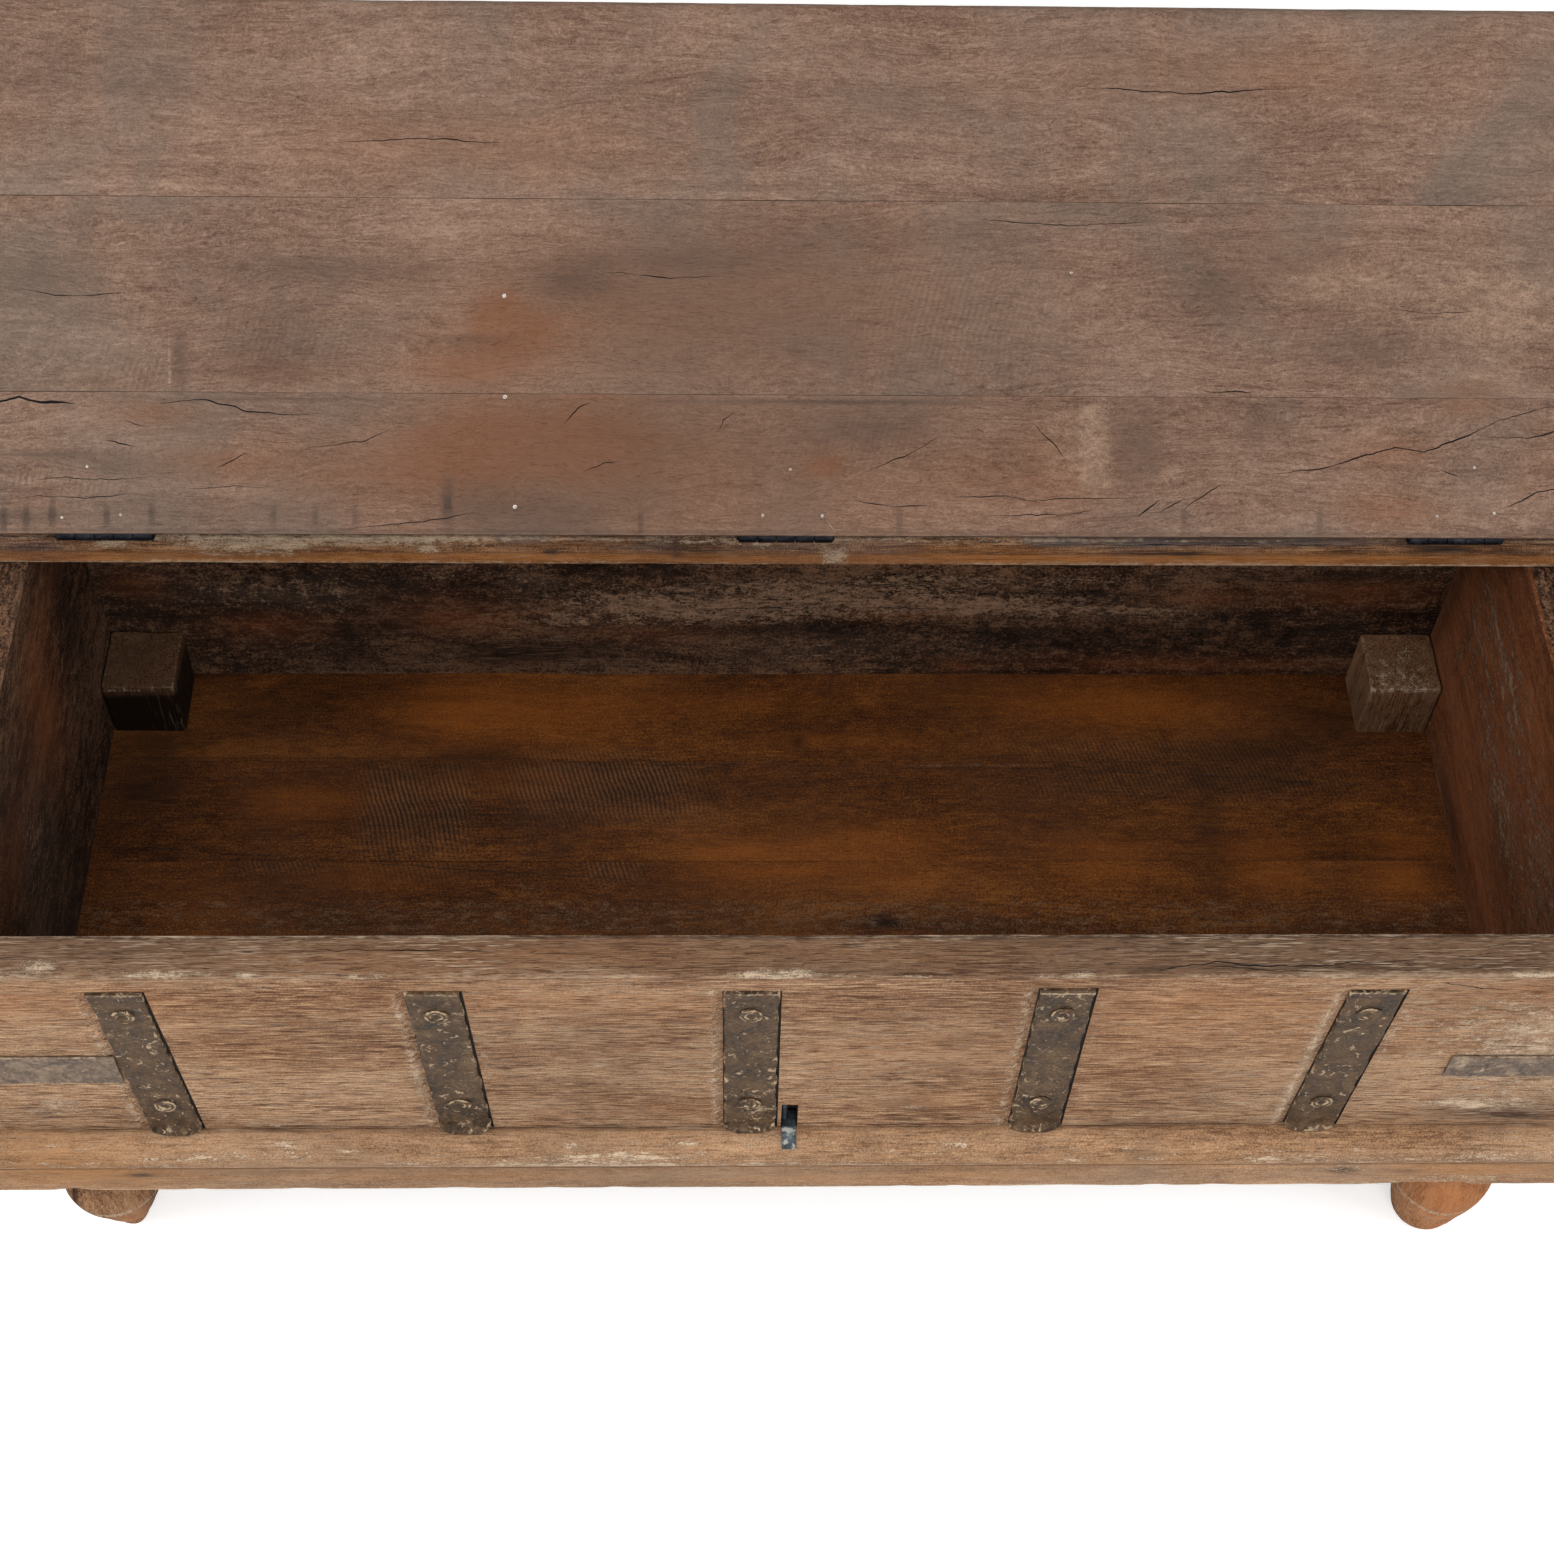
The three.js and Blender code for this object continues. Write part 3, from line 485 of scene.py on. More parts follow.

# %% [markdown]
# ## Splits are cut, not painted
# A drying crack is a narrow wedge that wanders along the grain. Painted on, it would vanish in raking
# light. So each one is a cutter: a chain of thin triangles along a path on the board's face, widest in
# the middle, taken off the board by a boolean. The faces that the cut leaves get a near-black finish,
# which is painted shade inside the crack.

# %% Cutters for splits
FRONT, REAR, UNDER, TOP, LEFT, RIGHT = (1, 0), (1, 1), (2, 0), (2, 1), (0, 0), (0, 1)


def split_cutter(path, width, depth, face, box, seed, step=1.7):
    """Points and triangles of a wedge along a path of millimetres on one face of a box."""
    axis, end = face
    a, b = [index for index in range(3) if index != axis]
    outward = 1 if end else -1
    path = np.array(path, float) * mm
    lengths = np.linalg.norm(np.diff(path, axis=0), axis=1)
    along = np.concatenate(([0], np.cumsum(lengths)))
    stations = np.linspace(0, along[-1], max(4, int(along[-1] / (step * mm))))
    line = np.stack([np.interp(stations, along, path[:, k]) for k in (0, 1)], axis=1)
    heading = np.gradient(line, axis=0)
    heading /= np.linalg.norm(heading, axis=1, keepdims=True)
    normal = np.stack((-heading[:, 1], heading[:, 0]), axis=1)
    flat = np.column_stack((line, np.zeros(len(line))))
    wander = rumple(flat, 8 * mm, seed) * 0.8 + rumple(flat, 2.4 * mm, seed + 1) * 0.4
    line = line + normal * (wander * mm)[:, None]
    share = stations / along[-1]
    swell = np.sqrt(np.clip(np.sin(np.pi * share), 0.02, 1)) * (0.75 + 0.35 * rumple(flat, 14 * mm, seed + 2))
    half = 0.5 * width * mm * swell
    level = box[end][axis]
    over = 1.5  # how far the wedge stands out of the face, so that the cut is clean
    flare = half * (1 + over / depth)
    rings = []
    for offset, height in ((flare, over), (0 * half, -depth), (-flare, over)):
        ring = np.empty((len(line), 3))
        ring[:, (a, b)] = line + normal * offset[:, None]
        sink = height * mm * (swell if height < 0 else 1)
        ring[:, axis] = level + outward * sink
        rings.append(ring)
    points = np.stack(rings, axis=1).reshape(-1, 3)
    faces = [(0, 1, 2), (len(points) - 1, len(points) - 2, len(points) - 3)]
    for station in range(len(line) - 1):
        for corner in range(3):
            p, q = station * 3 + corner, station * 3 + (corner + 1) % 3
            faces += [(p, p + 3, q), (q, p + 3, q + 3)]
    return points, faces


def cuts(face, *lines):
    """Splits of one face: each has a width, a depth, and then the places of its path, in millimetres."""
    return [(face, width, depth, path) for width, depth, *path in lines]


sample = split_cutter([(0, 20), (10, 21), (20, 20)], 1.0, 3, TOP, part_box("floor_plank_middle"), 1)
print("a split of 20 mm is cut by", len(sample[1]), "triangles")

# %% Points and faces to meshes, and the cut itself
def joined(parts):
    """Several point and face lists as one."""
    points, faces, start = [], [], 0
    for part_points, part_faces in parts:
        points.append(np.asarray(part_points, float))
        faces += [tuple(int(index) + start for index in face) for face in part_faces]
        start += len(part_points)
    return np.concatenate(points), faces


def mesh_of(name, points, faces, slots=(), index=0):
    mesh = bpy.data.meshes.new(name)
    mesh.from_pydata(np.asarray(points, float).tolist(), [], [tuple(map(int, face)) for face in faces])
    for material in slots:
        mesh.materials.append(material)
    mesh.polygons.foreach_set("material_index", np.full(len(mesh.polygons), index, np.int32))
    shape = bmesh.new()
    shape.from_mesh(mesh)
    bmesh.ops.recalc_face_normals(shape, faces=shape.faces)
    if shape.calc_volume(signed=True) < 0:
        bmesh.ops.reverse_faces(shape, faces=shape.faces)
    shape.to_mesh(mesh)
    shape.free()
    return mesh


def batches(cutters):
    """Sorts cutters into batches in which no two lie close to each other."""
    groups = []
    for points, faces in cutters:
        low, high = np.min(points, axis=0) - mm, np.max(points, axis=0) + mm
        for group in groups:
            if all(np.any(low > top) or np.any(high < bottom) for bottom, top, _ in group):
                group.append((low, high, (points, faces)))
                break
        else:
            groups.append([(low, high, (points, faces))])
    return [joined([item[2] for item in group]) for group in groups]


def carve(piece, cutters, slots, index):
    """Takes cutters off a piece, batch by batch. The faces that they leave get material `index`."""
    for points, faces in batches(cutters):
        blade = add_object("blade", mesh_of("blade", points, faces, slots, index))
        modifier = piece.modifiers.new("carve", "BOOLEAN")
        modifier.operation = "DIFFERENCE"
        modifier.solver = "MANIFOLD"
        modifier.object = blade
        evaluated = piece.evaluated_get(bpy.context.evaluated_depsgraph_get())
        carved = bpy.data.meshes.new_from_object(evaluated)
        piece.modifiers.clear()
        if len(carved.polygons):
            piece.data = carved
        else:
            print("a batch of cutters left", piece.name, "as it was")
        bpy.data.objects.remove(blade)


# %% [markdown]
# ## Painting the marks of use, and some painted light and shade
# A dab is a soft ellipse of one mask on one face, like a thumbprint of stain: where its middle is, how
# far it reaches along and across, and how strong it is. A list of dabs is quick to change while the
# render is compared with the real thing. Power 2 gives a soft edge, and 8 the hard edge of a scrubbed patch.

# %% Masks on the points of a piece
MASKS = {"warm": 0, "dark": 1, "dust": 2, "second": 3}
WARM, DARK, DUST, SECOND = MASKS.values()


def marks(**kinds):
    """Dabs from lists of places, one list for each mask."""
    return [(mask, *place) for mask, places in kinds.items() for place in places]


def bell(values, middle, reach, power=2):
    """1 at the middle, fading on both sides of it."""
    return np.exp(-(np.abs(values - middle) / reach) ** power)


def spot(across, up, middle, reach, power=2):
    """1 in the middle of a soft ellipse, fading around it."""
    far = (np.abs(across - middle[0]) / reach[0]) ** power + (np.abs(up - middle[1]) / reach[1]) ** power
    return np.exp(-far)


def blank_masks(points):
    return np.zeros((len(points), len(MASKS)))


def paint_dabs(points, masks, box, face, dabs):
    """Adds the dabs of one face to the masks. Places are in millimetres in the frame of the points."""
    axis, end = face
    a, b = [index for index in range(3) if index != axis]
    near = np.abs(points[:, axis] - box[end][axis]) < 3.4 * mm
    for mask, along, across, reach, height, amount, *power in dabs:
        dab = spot(points[:, a] / mm, points[:, b] / mm, (along, across), (reach, height), *power)
        masks[:, MASKS[mask]] += near * amount * dab


def grain_of(points, seed):
    """Where the finish reads its noise. Each piece has a place of its own in it, so no two look alike."""
    return points + np.array((0.37, 0.11, 0.23)) * seed


def write_masks(mesh, grain, masks, wear):
    for name, kind, key, values in (
        ("grain", "FLOAT_VECTOR", "vector", grain),
        ("paint", "FLOAT_COLOR", "color", np.clip(masks, 0, 1)),
        ("wear", "FLOAT", "value", np.clip(wear, 0, 1)),
    ):
        data = mesh.attributes.new(name, kind, "POINT").data
        data.foreach_set(key, np.ascontiguousarray(values, np.float32).ravel())


print("masks:", MASKS)

# %% Dress a finished piece
def points_of(mesh):
    points = np.empty(len(mesh.vertices) * 3)
    mesh.vertices.foreach_get("co", points)
    return points.reshape(-1, 3)


def dress(piece, body, finish, nodes=(), sharp=38):
    """Smooths a finished piece, gives it its finish and makes it ride on its body."""
    mesh = piece.data
    if not mesh.materials:
        mesh.materials.append(woods.get(finish) or irons[finish])
    mesh.polygons.foreach_set("use_smooth", np.ones(len(mesh.polygons), bool))
    mesh.set_sharp_from_angle(angle=math.radians(sharp))
    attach(piece, body)
    if nodes:
        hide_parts(*nodes)
    return piece


# A near-black finish for the faces that splits, housings and the latch slot leave: painted shade for these
# narrow cuts.
def painted_shade_wood():
    material, n = new_material("split wood")
    fine = n.noise(n.painted("grain", 1), 400.0, 3.0, 0.6)
    n.surface(Base_Color=n.ramp(fine, [(0.3, tint(9, 6, 4)), (0.7, tint(32, 22, 15))]), Roughness=0.95)
    return material


split_shade = painted_shade_wood()
print("inside every split:", split_shade.name)

# %% [markdown]
# ## One function for every board
# The lid's planks lie in the lid's own frame, closed and level, because that is how a joiner thinks of
# them; a matrix then takes them to the open lid. All other boards lie in the trunk's frame.

# %% The board function
hinge = frame["joints"][0]
lid_turn = math.radians(hinge["range_deg"][1])
lid_place = Matrix.Translation(hinge["pos_m"]) @ Matrix.Rotation(-lid_turn, 4, "X")


def box_in(place, node):
    """The corners of a node's box in the frame that `place` leads out of."""
    back = np.array(place.inverted())
    points = points_of(frame["nodes"][node].data) @ back[:3, :3].T + back[:3, 3]
    return points.min(0), points.max(0)


def brush_outside(mesh, box, faces):
    """Gives some faces of a board the finish of the front, and leaves their splits in the near-black painted
    shade.
    """
    mesh.materials.append(woods["front_wood"])
    centres, index = np.empty((len(mesh.polygons), 3)), np.empty(len(mesh.polygons), np.int32)
    mesh.polygons.foreach_get("center", centres.ravel())
    mesh.polygons.foreach_get("material_index", index)
    for axis, end in faces:
        index[(np.abs(centres[:, axis] - box[end][axis]) < 2.4 * mm) & (index == 0)] = 2
    mesh.polygons.foreach_set("material_index", index)


def board(name, node, finish, body="chest", place=Matrix(), along=0, step=6 * mm, ease=1.2 * mm,
          ragged=2.0 * mm, hollow=0.5 * mm, meets=(), longer=(), broken=None, splits=(), cutters=(),
          slopes=(), dabs=None, shape=None, also=(), nosing=None, brushed=(), seed=1):
    """A board that takes a node's place. Its grain runs along axis `along`. `cutters` and `splits` leave
    faces in the near-black painted shade and `slopes` don't, `also` adds grid lines, and `brushed` faces get
    the front's finish."""
    low, high = box = box_in(place, node)
    for (axis, end), amount in [(face, 0.15) for face in meets] + list(longer):
        box[end][axis] += (amount if end else -amount) * mm
    lines = [grid_lines(low[k], high[k], step, also if k == along else ()) for k in range(3)]
    points, quads = box_surface(lines)
    points = uneven(points, low, high, hollow, seed)
    points = soften(points, low, high, ease, ragged, seed, meets, broken, nosing)
    if shape:
        points = shape(points)
    slots = (woods[finish], split_shade)
    piece = add_object(name, mesh_of(name, points, quads, slots))
    wedges = [split_cutter(path, width, depth, face, box, seed + index)
              for index, (face, width, depth, path) in enumerate(splits)]
    carve(piece, list(slopes), slots, 0)
    # The faces that cutters and splits leave take the near-black painted shade.
    carve(piece, list(cutters), slots, 1)
    carve(piece, wedges, slots, 1)
    mesh = piece.data
    if brushed:
        brush_outside(mesh, box, brushed)
    points = points_of(mesh)
    inward = np.sort(np.minimum(points - low, high - points), axis=1)
    wear = 1 - np.clip(inward[:, 1] / (7 * mm), 0, 1)
    for face in meets:
        wear *= np.clip(distance_to(points, box, face) / MEETING_REACH, 0, 1)
    masks = blank_masks(points)
    for face, face_dabs in (dabs or {}).items():
        paint_dabs(points, masks, box, face, face_dabs)
    order = [along, (along + 1) % 3, (along + 2) % 3]
    write_masks(mesh, grain_of(points[:, order], seed), masks, wear)
    mesh.transform(place)
    print(name, len(mesh.polygons), "faces,", len(wedges), "splits")
    return dress(piece, body, finish, (node,))


print("the lid stands open by", round(math.degrees(lid_turn)), "degrees")

# %% [markdown]
# ## The front board
# The front is the face that was brushed with wire: soft wood is gone from between the hard fibres. Each
# strap lies in a housing chopped with a chisel, whose left side was pared to a slope and whose right side
# and top stand upright. The upright walls take the near-black painted shade, so that a dark line shows
# there. The housings are cutters too.

# %% Housings and the latch slot
strap_boxes = {number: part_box(f"front_strap_{number}") for number in range(1, 6)}
front_low, front_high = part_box("front_board")
moulding_top = strap_boxes[3][0].z + 0.2 * mm
STRAP_LEAN = {1: (-3.4, 2.0), 2: (-3.7, 2.2), 3: (-1.2, 0.0), 4: (0.4, 0.0), 5: (0.5, -5.5)}
STRAP_RISE = {4: 2.6}


def lean(number, z):
    """How far strap `number` stands to the right of its middle at a height: none was let in plumb."""
    top, foot = STRAP_LEAN[number]
    return np.interp(z, (moulding_top, strap_boxes[number][1].z), (foot, top)) * mm


def ringed(rings, closed_ends=True):
    """Joins rings of equally many points into a skin, with a face over each end."""
    count = len(rings[0])
    faces = []
    for station in range(len(rings) - 1):
        for corner in range(count):
            p, q = station * count + corner, station * count + (corner + 1) % count
            faces.append((p, q, q + count, p + count))
    if closed_ends:
        last = (len(rings) - 1) * count
        faces += [tuple(range(count))[::-1], tuple(range(last, last + count))]
    return np.concatenate(rings), faces


def housing_cutters(number):
    """The upright housing of a strap, and the slope that was pared on its left, wider here and there."""
    low, high = strap_boxes[number]
    deep, proud = front_low.y + 2.3 * mm, front_low.y - 4 * mm
    levels = np.linspace(moulding_top, high.z + (1.1 + STRAP_RISE.get(number, 0)) * mm, 14)
    widths = (5.4 + 1.6 * rumple(np.column_stack((levels, levels * 0, levels * 0 + number)), 0.03, 21)) * mm
    upright, slope = [], []
    for z, width in zip(levels, widths):
        aside = lean(number, z)
        outline = [(low.x + 1 * mm, proud), (low.x + 1 * mm, deep),
                   (high.x + 0.1 * mm, deep), (high.x + 0.4 * mm, proud)]
        upright.append(np.array([(x + aside, y, z) for x, y in outline]))
        outline = [(low.x - 0.4 * mm - 2.82 * width, proud), (low.x - 0.4 * mm, deep - 0.1 * mm),
                   (low.x + 4 * mm, deep - 0.1 * mm), (low.x + 4 * mm, proud)]
        slope.append(np.array([(x + aside, y, z) for x, y in outline]))
    return ringed(upright), ringed(slope)


def block_cutter(low, high):
    """A plain box as a cutter."""
    points = [(x, y, z) for z in (low[2], high[2]) for x, y in
              ((low[0], low[1]), (high[0], low[1]), (high[0], high[1]), (low[0], high[1]))]
    return points, [(0, 3, 2, 1), (4, 5, 6, 7), (0, 1, 5, 4), (1, 2, 6, 5), (2, 3, 7, 6), (3, 0, 4, 7)]


tongue_low, tongue_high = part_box("latch_tongue")
slot_low = (tongue_low.x - 0.3 * mm, front_low.y - 4 * mm, moulding_top - 0.3 * mm)
slot_high = (tongue_high.x + 0.3 * mm, front_low.y + 14 * mm, moulding_top + 31 * mm)
housings = [housing_cutters(number) for number in strap_boxes]
front_cutters = [pair[0] for pair in housings] + [block_cutter(slot_low, slot_high)]
print("the front board gets", len(front_cutters), "cutters")

# %% The front board, with its splits and marks
front_splits = cuts(
    TOP, (1.3, 5, (199, -274), (225, -275), (257, -270), (285, -273), (321, -273), (341, -270), (394, -269)),
    (1.0, 5, (-311, -261.4), (-280, -260.6), (-237, -260.8), (-200, -261.2), (-165, -261.7)),
    (0.9, 4, (245, -274.5), (261, -273), (289, -276), (328, -277)),
    (0.8, 3, (-160, -263), (-145, -263), (-124, -264)),
    (1.0, 4, (-520, -266), (-500, -265), (-478, -266), (-455, -265))
) + cuts(
    FRONT, (1.3, 3, (392, 416), (406, 413), (420, 409), (439, 406)),
    (1.6, 5, (-268, 226.6), (-250, 226.8), (-236, 225.4)), (1.4, 5, (-62, 228.6), (-52, 228), (-43, 226)),
    (1.2, 5, (9, 228), (22, 228.5), (36, 227.5)), (1.4, 5, (118, 227), (130, 227.5), (146, 228)),
    (1.6, 5, (40, 227), (60, 226.8), (84, 227.4), (108, 227)),
    (1.0, 4, (-190, 227.2), (-150, 226.8), (-100, 227.4), (-66, 227)),
    (1.0, 4, (196, 227), (240, 227.4), (290, 226.8), (330, 227.2)),
    (1.0, 4, (-380, 227.2), (-340, 226.8), (-290, 227.4)), (1.3, 4, (-504, 229), (-489, 230), (-478, 229)),
    (0.9, 3, (420, 228.5), (455, 229), (500, 228), (530, 229))
)
front_dabs = {
    FRONT: marks(
        warm=[(-480, 395, 70, 26, 0.45), (-150, 395, 150, 20, 0.35), (270, 385, 90, 34, 0.4),
              (470, 400, 60, 16, 0.5), (60, 330, 70, 22, 0.25), (-330, 330, 40, 40, 0.2),
              (-70, 250, 40, 14, 0.25), (455, 345, 60, 20, 0.25), (-392, 386, 36, 24, 0.3),
              (300, 340, 200, 60, 0.2), (104, 262, 40, 14, 0.3)],
        dark=[(488, 250, 52, 12, 0.5), (500, 236, 60, 5, 0.55), (455, 243, 26, 4, 0.35),
              (-520, 245, 40, 9, 0.35), (105, 246, 22, 6, 0.35), (-6, 236, 12, 8, 0.25),
              (-300, 238, 70, 4, 0.2), (95, 300, 50, 3, 0.25), (285, 300, 60, 3, 0.2), (78, 260, 6, 3, 0.5),
              (479, 243, 37, 12, 0.3), (-250, 350, 90, 26, 0.16), (-60, 340, 70, 40, 0.16),
              (60, 385, 80, 20, 0.14), (430, 385, 70, 24, 0.12), (497, 237, 24, 8, 0.3),
              (-340, 227, 50, 2.5, 0.6), (262, 227, 60, 2.5, 0.5), (85, 330, 80, 80, 0.2),
              (-115, 330, 80, 80, 0.12), (-310, 330, 80, 80, 0.08)],
        second=[(78, 257, 15, 13, 0.9), (250, 260, 90, 30, 0.25), (-150, 262, 90, 26, 0.3),
                (470, 250, 60, 12, 0.35)],
        dust=[(84, 252, 14, 5, 0.45), (455, 255, 16, 7, 0.5), (462, 354, 12, 6, 0.4),
              (-480, 267, 19, 14, 0.4), (-349, 283, 2.4, 14, 0.7), (-339, 234, 2.4, 12, 0.7),
              (440, 256, 10, 5, 0.5), (-95, 408, 60, 7, 0.3), (300, 412, 90, 5, 0.25),
              (300, 260, 80, 24, 0.22), (-160, 300, 60, 40, 0.15), (-300, 290, 60, 40, 0.12),
              (450, 330, 90, 60, 0.34), (330, 380, 120, 30, 0.15), (465, 256, 46, 7, 0.35),
              (-480, 250, 36, 16, 0.3), (-336, 412, 90, 6, 0.3), (40, 415, 200, 5, 0.25),
              (-330, 232, 60, 4, 0.4), (-120, 232, 60, 4, 0.35), (80, 232, 60, 4, 0.35),
              (262, 232, 60, 4, 0.35), (480, 320, 60, 80, 0.42), (275, 320, 70, 80, 0.18)]),
    TOP: marks(
        second=[(0, -265, 900, 60, 0.85, 8)],
        dark=[(0, -262, 900, 15, 0.3, 8), (330, -262, 260, 30, 0.16), (290, -274, 120, 4, 0.45),
              (430, -276, 70, 5, 0.35), (-6, -271, 7, 3, 0.6), (-420, -262, 60, 9, 0.25),
              (200, -256, 160, 4, 0.2), (-240, -258, 140, 3, 0.35), (60, -278, 90, 2.5, 0.3),
              (450, -262, 60, 8, 0.25)],
        dust=[(-451, -272, 14, 6, 0.5), (-383, -277.5, 25, 3, 0.6), (-331, -277.6, 12, 2.5, 0.8),
              (-256, -279, 15, 2.5, 0.8), (-10, -278, 22, 3, 0.8), (170, -279, 20, 2.5, 0.7),
              (448, -279, 14, 2.5, 0.7), (60, -279.5, 60, 1.6, 0.4), (300, -279.5, 60, 1.6, 0.4),
              (-20, -278, 26, 3, 0.5), (8, -274, 8, 4, 0.45), (262, -258, 3, 3, 0.8),
              (-478, -276, 20, 3, 0.6), (-451, -270, 11, 7, 0.35), (-379, -277, 24, 2, 0.7)],
        warm=[(-130, -262, 100, 12, 0.3), (60, -262, 80, 10, 0.25), (-260, -268, 120, 12, 0.3)]),
    REAR: [("second", 0, 300, 900, 300, 1.0, 8), ("dark", 0, 300, 900, 300, 0.6, 8)],
}
near_straps = []  # more grid lines beside each strap, where the dust lies narrow
for number, (low, high) in strap_boxes.items():
    for z in np.linspace(moulding_top + 8 * mm, high.z - 6 * mm, 9):
        left, right = (low.x + lean(number, z)) / mm, (high.x + lean(number, z)) / mm
        # Pale dabs on the pared slope left of each strap, partly sanded wood and partly a painted highlight
        # on the slope, and fainter ones on the right.
        front_dabs[FRONT] += [("dust", left - 4.5, z / mm, 4.5, 13, 0.5),
                              ("dust", right + 4.5, z / mm, 3.5, 12, 0.25)]
    near_straps += [low.x + offset * mm for offset in (-19, -16.5, -14, -11.5, -9.0, -6.5, -3.5)]
    near_straps += [high.x + offset * mm for offset in (3.2, 5.4, 7.6, 10, 13)]
board("front_face_board", "front_board", "front_wood", step=5.5 * mm, ragged=2.6 * mm, ease=1.3 * mm,
      hollow=0.7 * mm, splits=front_splits, cutters=front_cutters, slopes=[pair[1] for pair in housings],
      dabs=front_dabs, also=near_straps, seed=3)

# %% [markdown]
# ## The lid's planks
# The underside of the lid fills the upper part of the view. It is dusty and matt, and its rear plank has
# the longest splits: one runs up from the middle of the right half to the end. Places are given from the
# middle of the lid and from its hinge line, so y is below zero on every plank.

# %% The rear plank, with splits along the seam
LID_SPLIT_WIDTH = 1.45  # every split of the lid is widened by this


def lid_splits(face, *lines):
    """Splits of a lid plank, whose places are given along the lid and away from its hinge line."""
    return [(face, width * LID_SPLIT_WIDTH, depth, [(x, -distance) for x, distance in path])
            for _, width, depth, path in cuts(face, *lines)]


rear_plank_splits = lid_splits(
    UNDER,
    (1.0, 4, (306, 40), (317, 41), (343, 44), (358, 46), (380, 53), (400, 59), (420, 56), (447, 66),
     (469, 76), (480, 80), (502, 86), (530, 87)),
    (0.8, 3, (464, 66), (488, 65), (506, 70), (530, 74)),
    (0.8, 3, (472, 18), (488, 25), (497, 30), (507, 32), (524, 33)), (0.7, 3, (231, 13), (246, 24)),
    (0.7, 3, (245, 15), (261, 25)), (0.7, 3, (260, 17), (277, 29), (288, 36)),
    (0.7, 3, (130, 13), (160, 14), (183, 14), (204, 17)),
    (0.6, 3, (140, 25), (160, 23), (186, 25), (237, 25)), (0.9, 3, (161, 73), (172, 63), (184, 50)),
    (0.7, 3, (431, 45), (445, 40)), (0.7, 3, (-444, 60), (-421, 55)), (0.6, 3, (-431, 73), (-416, 69)),
    (0.7, 3, (-372, 42), (-351, 52)), (0.7, 3, (-314, 55), (-275, 60), (-257, 69)),
    (0.8, 3, (-290, 3), (-254, 6), (-202, 14)), (0.7, 3, (-147, 71), (-136, 83), (-127, 86)),
    (0.7, 3, (-45, 67), (-42, 75), (-34, 80)), (0.6, 3, (-134, 41), (-120, 46), (-107, 48)),
    (0.7, 3, (51, 41), (80, 53), (101, 65)), (0.7, 3, (40, 23), (72, 19), (100, 20)),
    (0.7, 3, (110, 25), (142, 26), (166, 23)),
    (0.9, 3, (-412, 83), (-384, 87), (-365, 83), (-351, 79), (-322, 77), (-296, 78)),
    (2.2, 5, (-545, 84), (-510, 84), (-497, 87), (-486, 85), (-457, 83)),
    (0.6, 2, (-500, 33), (-470, 36), (-440, 34), (-410, 37)),
    (0.6, 2, (-510, 21), (-480, 24), (-452, 23), (-420, 27)), (0.6, 2, (-395, 28), (-360, 31), (-330, 29)),
)
# Short dark bars near the hinge line: place, distance from the line, half width and half length.
edge_bars = [(-509.6, 9.5, 1.8, 9), (-495, 11.5, 1.8, 9), (-478, 16, 2.0, 10), (-443, 9.8, 1.8, 8),
             (-414, 11.8, 1.8, 9), (-335, 10, 1.8, 7), (-308, 10, 1.8, 7), (-282, 11.6, 1.8, 8),
             (-222, 20, 3.2, 13), (-96, 8, 1.8, 7), (74, 9, 1.8, 8), (262, 12, 2.0, 9), (352, 10, 1.8, 8),
             (501.5, 88, 1.2, 9)]
rear_plank_dabs = {UNDER: marks(
    warm=[(-410, -77, 32, 8, 0.5), (-372, -46, 40, 10, 0.4), (-213, -59, 40, 30, 0.6),
          (-280, -40, 70, 22, 0.35), (-131, -63, 60, 36, 0.65), (-60, -40, 240, 60, 0.45),
          (24, -46, 14, 8, 0.7), (137, -40, 50, 20, 0.25), (400, -55, 32, 13, 0.45),
          (448, -88, 27, 10, 0.45), (398, -18, 44, 12, 0.5), (500, -45, 34, 20, 0.2),
          (182, -50, 24, 26, 0.4)],
    dark=[(-480, -50, 50, 4.5, 0.55), (-440, -42, 40, 5, 0.4), (-500, -27, 26, 3, 0.5),
          (-400, -14, 90, 7, 0.3), (-500, -10, 40, 7, 0.5), (-203, -18, 32, 15, 0.45),
          (-149, -13, 42, 14, 0.45), (59, -72, 46, 14, 0.4), (315, -77, 20, 16, 0.4),
          (230, -60, 17, 33, 0.35, 4), (250, -60, 60, 20, 0.15), (-60, -60, 240, 60, 0.36),
          (-330, -87, 90, 1.4, 0.5), (60, -87, 120, 1.4, 0.5), (300, -86, 60, 1.2, 0.35),
          (0, -2, 900, 1.6, 0.4, 8)],
    second=[(-493, -35, 18, 4.5, 0.9), (-455, -30, 20, 4, 0.9), (59, -60, 46, 24, 0.5)],
    dust=[(190, -58, 25, 33, 0.55, 6), (203, -60, 12, 30, 0.25, 8), (340, -34, 70, 16, 0.2),
          (137, -37, 33, 14, 0.25), (-348, -7, 14, 4, 0.6), (-430, -60, 70, 20, 0.25),
          (-500, -72, 40, 12, 0.35), (470, -20, 60, 14, 0.35), (460, -60, 90, 40, 0.42)]
) + [("dark", x, -depth, reach, height, 0.75) for x, depth, reach, height in edge_bars]}
print("the rear plank gets", len(rear_plank_splits), "splits and", len(edge_bars), "dark bars")

